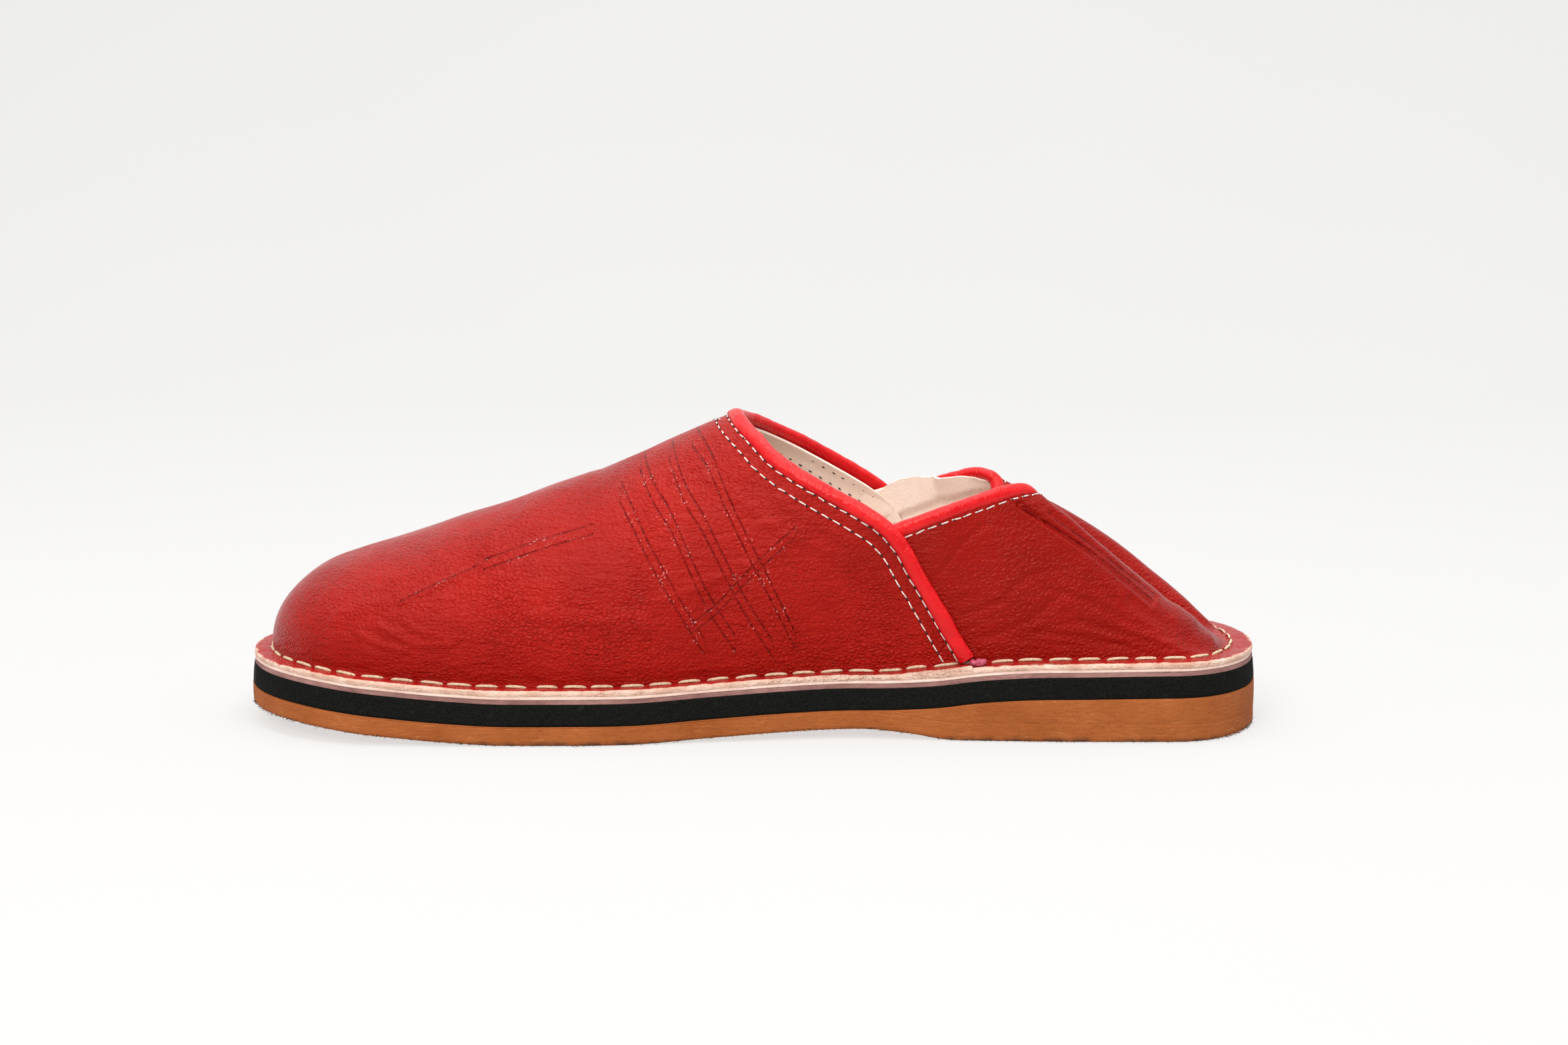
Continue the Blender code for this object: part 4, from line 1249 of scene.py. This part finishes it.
def quarter_lining():
    """The suede side with the side against the leather behind it. On the outer side the rows
    under the edge lean inwards and the last ones rise by their shares, ragged by lumps."""
    inside = plain_quarter - QUARTER_THICKNESS * quarter_normal
    outside = plain_quarter - (LEATHER_THICKNESS + 0.05 * MM) * quarter_normal
    inside = inside - quarter_normal * (0.2 * MM * lumps(inside, 8 * MM, 101))[..., None]
    up = unit(inside[:, -1] - inside[:, -2])
    s_top = from_toe(inside[:, -1])
    outer_side = np.clip((np.linspace(0, 1, len(inside)) - RAISED_FROM) / 0.07, 0, 1)
    outer_side = outer_side * np.clip((s_top - RAISED_PLACE) / (6 * MM), 0, 1)
    to_notch = eased_step((NOTCH_RAISE_END - s_top) / NOTCH_RAISE_LENGTH)
    raised = (RAISED_EDGE + NOTCH_RAISE * to_notch) * outer_side
    raised = raised * (1 + 0.16 * lumps(inside[:, -1], 3.5 * MM, 102))
    lean = quarter_normal * (EDGE_LEAN * outer_side)[:, None, None]
    ramp = eased_step(np.linspace(0, 1, LEAN_ROWS))[:, None]
    rising = -len(RAISED_SHARES)
    leaning = slice(rising - LEAN_ROWS, rising)
    for sheet in (inside, outside):
        sheet[:, leaning] -= lean[:, leaning] * ramp
        for k, share in enumerate(RAISED_SHARES, rising):
            sheet[:, k] += up * (raised * share)[:, None] - lean[:, -1]
    ring_inset = QUARTER_INSET + QUARTER_THICKNESS
    inside[:, 0] = on_ring(quarter_angle, ring_inset, lambda s: board_top(s) + GAP)
    leather_sheet("quarter_lining", inside, outside, False, natural_suede, "natural_leather")


quarter_lining()


# Sole stitching
# Thick waxed thread sewn by hand through flange, board and foam, one long stitch after
# another in the corner where the upper meets its flange.

SOLE_PITCH = 7.9 * MM
SOLE_STITCH = 6.4 * MM
SOLE_THREAD = 0.85 * MM
STITCH_RISE = 0.16 * MM


def travelled(path):
    """Length of a path up to each of its points."""
    return np.concatenate([[0], np.cumsum(np.linalg.norm(np.diff(path, axis=0), axis=1))])


def rod_faces(rows, columns):
    """Faces of a rod given as a grid of rings: its sides and its two ends."""
    last = (rows - 1) * columns
    ends = [list(range(columns)), list(range(last, last + columns))]
    return grid_faces(rows, columns, False) + ends


def stitch_row(
    name, path, up, pitch, length, width, rise, finish, slot, sides=8, seed=0, crooked=0.03
):
    """Stitches along a path: each is a rod with round ends that bows up by rise, dips into
    the leather at both ends, and is turned a little out of line at random."""
    travel = travelled(path)
    count = int(travel[-1] // pitch)
    rng = np.random.default_rng(seed + 5)
    middle = (np.arange(count) + 0.5) * travel[-1] / count
    middle = middle + rng.normal(0, 0.035, count) * pitch
    share = np.array([-1, -0.86, -0.55, 0, 0.55, 0.86, 1])
    own_length = length * rng.normal(1, 0.05, count)
    spot = middle[:, None] + share * own_length[:, None] / 2
    centre, out = (
        np.stack([np.interp(spot, travel, given[:, axis]) for axis in range(3)], axis=-1)
        for given in (path, up)
    )
    out = unit(out)
    side = unit(np.cross(out, unit(np.gradient(centre, axis=1))))
    skew = rng.normal(0, crooked, count)[:, None] * length * share
    bow = rise * (1 - share**2) - width * 0.30 * share**4
    centre = centre + out * bow[:, None] + side * skew[..., None]
    thick = (np.sqrt(np.clip(1 - share**6, 0.02, 1)) * width / 2)[:, None]
    turn = np.linspace(0, 2 * math.pi, sides, endpoint=False)
    across, over = np.cos(turn) * thick, 0.8 * np.sin(turn) * thick
    loops = (
        centre[:, :, None]
        + side[:, :, None] * across[..., None]
        + out[:, :, None] * over[..., None]
    )
    one = rod_faces(len(share), sides)
    size = len(share) * sides
    faces = [[corner + k * size for corner in face] for k in range(count) for face in one]
    return mesh_piece(name, loops, faces, finish)


def thread_finish(name, colour, shade):
    """Twisted thread: fine slanting plies with painted shade in their grooves, and a little grime
    in patches.
    """
    paint = new_paint(name, 0.7)
    plies = paint.grain((1500, 1500, 3200), 3, 0.6, (0, 35, 0))
    paint.cloud(plies, 0.35, 0.65, shade, colour)
    paint.stain(paint.noise(180, 3, 0.6), 0.58, 0.75, 0.4, shade)
    return paint.done([(plies, 0.2 * MM)])


def sole_seam():
    """Path of the seam, which steps back behind the vamp, and its stitches' outward side."""
    angle = np.linspace(0, 2 * math.pi, 2400)
    s, _ = ring(angle, FLANGE_WIDTH)
    behind = np.clip((s - vamp_end[0]) / (3 * MM), 0, 1)
    inset = FLANGE_WIDTH - 0.30 * MM + VAMP_STEP * behind
    s, y = ring(angle, inset)
    path = place(s, y, foot_height(s) + 0.30 * MM + doubled_flange(s) * (1 - behind))
    out = outwards(angle, inset, inset - 1 * MM)
    return path, unit(out * 0.7 + np.array([0, 0, 0.72]))


waxed_thread = thread_finish("waxed_thread", (0.80, 0.66, 0.47), (0.46, 0.30, 0.17))
stitch_row(
    "sole_stitches", *sole_seam(), SOLE_PITCH, SOLE_STITCH, SOLE_THREAD, STITCH_RISE,
    waxed_thread, "natural_leather", crooked=0.012,
)


# Vamp binding
# A strip of bright red leather folded over the vamp's rear edge and sewn through, so it
# stands as a smooth roll round the throat and down both sides to the flange.

BINDING_WIDTH = 4.4 * MM
VAMP_BINDING_HEIGHT = 3.4 * MM
LAP_EASE = 9 * MM
NOTCH_HEIGHT = WALL[1][1] * COLLAR_RISE
STRIP_SIDES = 28
THROAT_POINTS = 640


def eased(values, passes):
    """Values averaged with their neighbours, the two ends held."""
    values = values.copy()
    for _ in range(passes):
        values[1:-1] = (values[:-2] + 2 * values[1:-1] + values[2:]) / 4
    return values


def binding_finish():
    """Thin glossy bright red leather with fine cross wrinkles and a few rubbed dark spots."""
    paint = new_paint("bright_binding_leather", 0.3)
    clouds = paint.noise(140, 4, 0.6)
    pull = paint.grain((900, 900, 420), 4, 0.6)
    pores = paint.cells(1700, "SMOOTH_F1")
    paint.cloud(clouds, 0.3, 0.7, (0.54, 0.0030, 0.0060), (0.70, 0.0085, 0.0120))
    paint.stain(pull, 0.6, 0.78, 0.5, (0.34, 0.003, 0.008))
    return paint.done(
        [(pull, 0.30 * MM), (pores, 0.08 * MM), (clouds, 0.35 * MM)],
        Roughness=paint.spread(clouds, 0.3, 0.7, 0.24, 0.38), Coat_Weight=0.16,
        Coat_Roughness=0.14, Specular_Tint=(1.0, 0.35, 0.33, 1),
    )


def rolled_strip(name, path, side, out, width, height, seed, finish):
    """Closed rod with a flattened oval section along a path, a little uneven in width and
    crumpled all over."""
    turn = np.linspace(0, 2 * math.pi, STRIP_SIDES, endpoint=False)
    uneven = 1 + 0.07 * lumps(path, 9 * MM, seed) + 0.04 * lumps(path, 3 * MM, seed + 1)
    across = np.sign(np.cos(turn)) * np.abs(np.cos(turn)) ** 0.82 * width / 2
    up = np.sign(np.sin(turn)) * np.abs(np.sin(turn)) ** 0.9 * height / 2
    loops = (
        path[:, None]
        + side[:, None] * (across * uneven[:, None])[..., None]
        + out[:, None] * (up * uneven[:, None])[..., None]
    )
    crumple = 0.10 * MM * lumps(loops, 2.2 * MM, seed + 2)
    loops = loops + unit(loops - path[:, None]) * crumple[..., None]
    return mesh_piece(name, loops, rod_faces(*loops.shape[:2]), finish)


def throat_frame(theta, inward):
    """Path on the vamp's skin at a distance inside its rear edge, with the direction across
    it away from the leather, and the normal out of the shoe. The step inwards along the skin
    is the one in s and theta that comes nearest to it."""
    edge_s = throat_place(theta)
    edge, normal = vamp_skin(edge_s, theta)
    away = unit(np.cross(-normal, unit(np.gradient(edge, axis=0))))
    away = away * np.sign(away[:, :1])
    if inward:
        base = plain_vamp(edge_s, theta)
        by_s = (plain_vamp(edge_s + 0.5 * MM, theta) - base) / (0.5 * MM)
        turn = np.where(theta > math.pi / 2, -0.01, 0.01)
        by_theta = (plain_vamp(edge_s, theta + turn) - base) / turn[:, None]
        step = np.linalg.pinv(np.stack([by_s, by_theta], axis=-1)) @ (-away * inward)[..., None]
        move_s, move_theta = step[:, 0, 0], step[:, 1, 0]
        edge, normal = vamp_skin(edge_s + move_s, np.clip(theta + move_theta, 0, math.pi))
    return edge, away, -normal


throat_theta = math.pi / 2 * (1 - np.cos(np.linspace(0, math.pi, THROAT_POINTS)))
bright_leather = binding_finish()


def vamp_binding():
    """The roll lies on the quarter's lap up to the notch, and from there on the vamp's edge
    in the middle of its leather."""
    edge, away, normal = throat_frame(throat_theta, 0)
    height = over_foot(edge)
    laid = VAMP_STEP - VAMP_BINDING_HEIGHT / 2
    risen = eased_step((height - NOTCH_HEIGHT) / LAP_EASE)
    depth = laid + (LEATHER_THICKNESS / 2 - laid) * risen
    path = edge + away * (BINDING_WIDTH * 0.40) - normal * depth[:, None]
    clear = height > 1.2 * MM
    strip = [eased(given, 6)[clear] for given in (path, away, normal)]
    roll = rolled_strip(
        "throat_binding", *strip, BINDING_WIDTH, VAMP_BINDING_HEIGHT, 111, bright_leather
    )
    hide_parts("vamp_binding")


vamp_binding()


# Binding tail
# The end of the throat's strip, folded under itself and pressed flat on the flange. Dye has
# gathered in it, so it is a purplish pink.

TAIL_PLACE = 209.0 * MM
TAIL_INSET = 3.4 * MM
TAIL_RISE = 1.05 * MM
TAIL_SIZE = (4.8 * MM, 2.8 * MM, 2.3 * MM)
TAIL_RINGS = 40
TAIL_SIDES = 36


def binding_tail():
    """Flattened ball, long along the flange, with two grooves round it and a turned-up end:
    half sizes a, b, c times (cos u, sin u cos v, sin u sin v), cut in at u = 1.2 and 1.9."""
    u = np.linspace(0.02, math.pi - 0.02, TAIL_RINGS)[:, None]
    v = np.linspace(0, 2 * math.pi, TAIL_SIDES, endpoint=False)
    deep_groove = 0.30 * np.exp(-(((u - 1.9) / 0.16) ** 2))
    thin_groove = 0.16 * np.exp(-(((u - 1.2) / 0.12) ** 2))
    radius = np.sin(u) ** 0.6 * (1 - deep_groove - thin_groove)
    half = [size / 2 for size in TAIL_SIZE]
    turned_up = 0.4 * MM * np.clip(np.cos(u), 0, 1) ** 2
    ball = np.stack([
        half[0] * np.cos(u) + 0 * v,
        half[1] * radius * np.cos(v),
        half[2] * radius * np.sin(v) + turned_up,
    ], axis=-1)
    ball = ball + unit(ball) * (0.12 * MM * lumps(ball, 1.2 * MM, 131))[..., None]
    angle = ring_angle(TAIL_PLACE, TAIL_INSET)
    points = ball + on_ring(angle, TAIL_INSET, lambda s: foot_height(s) + TAIL_RISE)
    paint = new_paint("purple_binding_end", 0.38)
    clouds = paint.noise(700, 3, 0.6)
    paint.cloud(clouds, 0.35, 0.65, (0.30, 0.010, 0.045), (0.52, 0.10, 0.16))
    finish = paint.done([(clouds, 0.4 * MM)])
    faces = rod_faces(TAIL_RINGS, TAIL_SIDES)
    mesh_piece("binding_tail", points, faces, finish)


binding_tail()


# Vamp stitching
# Two rows of white machine stitches run beside the binding, the first close against it. The
# needle holes are dark, and both rows come through to the lining.

MACHINE_PITCH = 3.5 * MM
MACHINE_STITCH = 2.75 * MM
MACHINE_THREAD = 0.40 * MM
ROW_PLACES = (0.75 * MM, 4.3 * MM)
HOLE_WIDTH = 0.60 * MM

white_thread = thread_finish("white_thread", (0.88, 0.82, 0.76), (0.55, 0.43, 0.37))
# The cut-edge pattern in near-black for the needle holes: painted shade in the holes.
hole_shade = cut_edge_finish(
    "needle_hole_shade", (0.055, 0.012, 0.010), (0.03, 0.008, 0.007), (0.02, 0.006, 0.005)
)


def machine_stitches(name, path, up, seed):
    stitch_row(
        name, path, up, MACHINE_PITCH, MACHINE_STITCH, MACHINE_THREAD, STITCH_RISE,
        white_thread, "natural_leather", 6, seed,
    )


def needle_holes(name, path, up, seed, width):
    """Dark oval dimples where the thread goes through, at the pitch of the stitches."""
    length = MACHINE_PITCH * 0.30
    stitch_row(
        name, path, up, MACHINE_PITCH, length, width, 0.03 * MM, hole_shade, "red_leather",
        seed=seed,
    )


def vamp_stitching():
    """The holes start half a pitch later than the stitches, so they lie between them."""
    for number, inward in enumerate(ROW_PLACES):
        path, _, normal = throat_frame(throat_theta, inward)
        clear = over_foot(path) > 1.0 * MM
        path, normal = path[clear], normal[clear]
        label = f"vamp_row_{number + 1}"
        machine_stitches(label, path, normal, number)
        travel = travelled(path)
        later = travel > travel[-1] / int(travel[-1] // MACHINE_PITCH) / 2
        needle_holes(label + "_holes", path[later], normal[later], number, HOLE_WIDTH)
        depth = WALL_THICKNESS + lap_lining(from_toe(path)) + 0.05 * MM
        inside = path - normal * depth[:, None]
        needle_holes(label + "_lining_holes", inside, -normal, number + 2, 0.42 * MM)


vamp_stitching()


# Collar binding
# The same bright strip round the quarter's edge, from the notch over both ridges and down
# through the trodden trough.

NOTCH_PLACE = WALL[1][0] * SOLE_LENGTH - SOLE_LENGTH / 2


def collar_frame(inward):
    """Path on the quarter's skin at a distance below its edge, with the direction across it
    away from the leather, and the skin's normal."""
    tall = np.linalg.norm(np.diff(quarter_front, axis=1), axis=-1).sum(axis=1)
    row = QUARTER_ROWS * (1 - inward / tall)
    low = np.clip(np.floor(row).astype(int), 0, QUARTER_ROWS - 1)
    part = (row - low)[:, None]
    pick = np.arange(len(quarter_front))
    path = quarter_front[pick, low] * (1 - part) + quarter_front[pick, low + 1] * part
    away = quarter_front[:, -1] - quarter_front[:, -3]
    tangent = unit(np.gradient(path, axis=0))
    away = unit(away - tangent * (away * tangent).sum(axis=1, keepdims=True))
    return path, away, unit(np.cross(tangent, away))


def collar_binding():
    path, away, normal = collar_frame(0)
    middle = path + away * (COLLAR_BINDING_HEIGHT * 0.38) - normal * QUARTER_THICKNESS / 2
    middle = eased(middle, 30)
    kept = middle[:, 0] > NOTCH_PLACE - 1.5 * MM
    roll = rolled_strip(
        "collar_roll", middle[kept], eased(away, 30)[kept], eased(normal, 30)[kept],
        COLLAR_BINDING_HEIGHT, COLLAR_BINDING_HEIGHT * 0.88, 121, bright_leather,
    )
    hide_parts("collar_binding")


collar_binding()


# Collar stitching
# One row of the white machine stitches close under the collar's binding, with its holes
# coming through to the lining.


def collar_stitching():
    path, _, normal = collar_frame(1.0 * MM)
    kept = path[:, 0] > NOTCH_PLACE + 2 * MM
    path, normal = path[kept], normal[kept]
    machine_stitches("collar_row", path, normal, 7)
    needle_holes("collar_row_holes", path[8:], normal[8:], 8, HOLE_WIDTH)
    low, _, normal = collar_frame(2.6 * MM)
    inside = low - normal * (QUARTER_THICKNESS + 0.05 * MM)
    needle_holes("collar_lining_holes", inside[kept], -normal[kept], 9, 0.40 * MM)


collar_stitching()


# Floor and backdrop
# A white paper sweep: flat under the shoe, then curving up behind it.

FLOOR_HALF = 3.0
FLOOR_FRONT = -1.5
SWEEP_START = 0.9
SWEEP_RADIUS = 0.8
SWEEP_TOP = 3.0


def paper_sweep():
    turn = np.linspace(0, math.pi / 2, 24)
    curve = SWEEP_START + SWEEP_RADIUS * np.sin(turn)
    depth = np.concatenate([[FLOOR_FRONT], curve, [SWEEP_START + SWEEP_RADIUS]])
    rise = np.concatenate([[0], SWEEP_RADIUS * (1 - np.cos(turn)), [SWEEP_TOP]])
    points = [(x, y, z) for x in (-FLOOR_HALF, FLOOR_HALF) for y, z in zip(depth, rise)]
    size = len(depth)
    faces = [(i, size + i, size + i + 1, i + 1) for i in range(size - 1)]
    mesh = bpy.data.meshes.new("paper_sweep")
    mesh.from_pydata(points, [], faces)
    mesh.shade_smooth()
    paint = new_paint("white_paper", 0.9)
    paint.base = paint.mix(paint.noise(3, 2, 0.5), (0.176, 0.174, 0.171), (0.188, 0.186, 0.182))
    mesh.materials.append(paint.done(
        [], Specular_IOR_Level=0.0, Emission_Color=(1.0, 0.994, 0.984, 1),
        Emission_Strength=0.655,
    ))
    sweep = bpy.data.objects.new("paper_sweep", mesh)
    bpy.context.scene.collection.objects.link(sweep)


paper_sweep()


# Light
# A white room, brighter overhead and behind the shoe. One broad lamp over the camera's left
# shoulder, a long one overhead that draws the sheen along the crown, one into the mouth, one
# on the wall of paper, and a weak one from the right.

LAMPS = (
    # name, place, aim, width, height, power, colour
    ("key_lamp", (-0.33, -1.0, 0.68), (0, 0, 0.04), 0.34, 0.30, 7.7, (1.0, 0.98, 0.95)),
    ("top_lamp", (-0.1, 0.08, 1.15), (0, 0, 0.03), 1.2, 0.6, 3.8, (1.0, 1.0, 1.0)),
    ("mouth_lamp", (0.16, -0.38, 0.72), (0.06, 0.01, 0.05), 0.25, 0.2, 1.4, (1.0, 0.98, 0.96)),
    ("wall_lamp", (0, 0.1, 1.7), (0, 1.6, 0.9), 1.2, 0.5, 12.0, (1.0, 1.0, 1.0)),
    ("side_lamp", (1.0, -0.6, 0.6), (0.02, 0, 0.04), 0.4, 0.4, 0.7, (1.0, 0.99, 0.98)),
)


def face_along(held, direction):
    """Turns a lamp or camera to look in a direction, upright."""
    held.rotation_euler = direction.to_track_quat("-Z", "Y").to_euler()
    bpy.context.scene.collection.objects.link(held)


for name, spot, aim, width, height, power, colour in LAMPS:
    light = bpy.data.lights.new(name, "AREA")
    light.shape, light.size, light.size_y = "RECTANGLE", width, height
    light.energy, light.color = power, colour
    held = bpy.data.objects.new(name, light)
    held.location = spot
    face_along(held, Vector(aim) - Vector(spot))

room = bpy.data.worlds.new("white_room")
sky = Paint(room, "Background", "Generated")
overhead = sky.spread(sky.part("Z"), 0.05, 0.80, 0.10, 1.20)
behind_shoe = sky.spread(sky.part("Y"), 0.0, 1.0, 0.0, 0.5)
glow = sky.maths("ADD", overhead, behind_shoe)
sky.fill(sky.inputs, {"Strength": glow, "Color": (0.98, 0.99, 1.0, 1)})
bpy.context.scene.world = room
bpy.context.scene.view_settings.view_transform = "Standard"


# Camera
# Level with the table's edge and a little over it, square to the shoe's inner side, as in
# the photograph.

CAMERA_DISTANCE = 0.700
CAMERA_RISE = math.radians(8.4)
CAMERA_TURN = math.radians(1.5)
CAMERA_AIM = Vector((0.0093, 0.0025, 0.0548))
PHOTO_WIDTH = 2352
FOCAL_PIXELS = 3608.5

view = bpy.data.cameras.new("photo_camera")
view.sensor_width = 36
view.lens = FOCAL_PIXELS / PHOTO_WIDTH * view.sensor_width
view.clip_start = 0.01
camera = bpy.data.objects.new("photo_camera", view)
back = Vector((
    math.sin(CAMERA_TURN) * math.cos(CAMERA_RISE),
    -math.cos(CAMERA_TURN) * math.cos(CAMERA_RISE),
    math.sin(CAMERA_RISE),
))
camera.location = CAMERA_AIM + back * CAMERA_DISTANCE
face_along(camera, -back)
bpy.context.scene.camera = camera
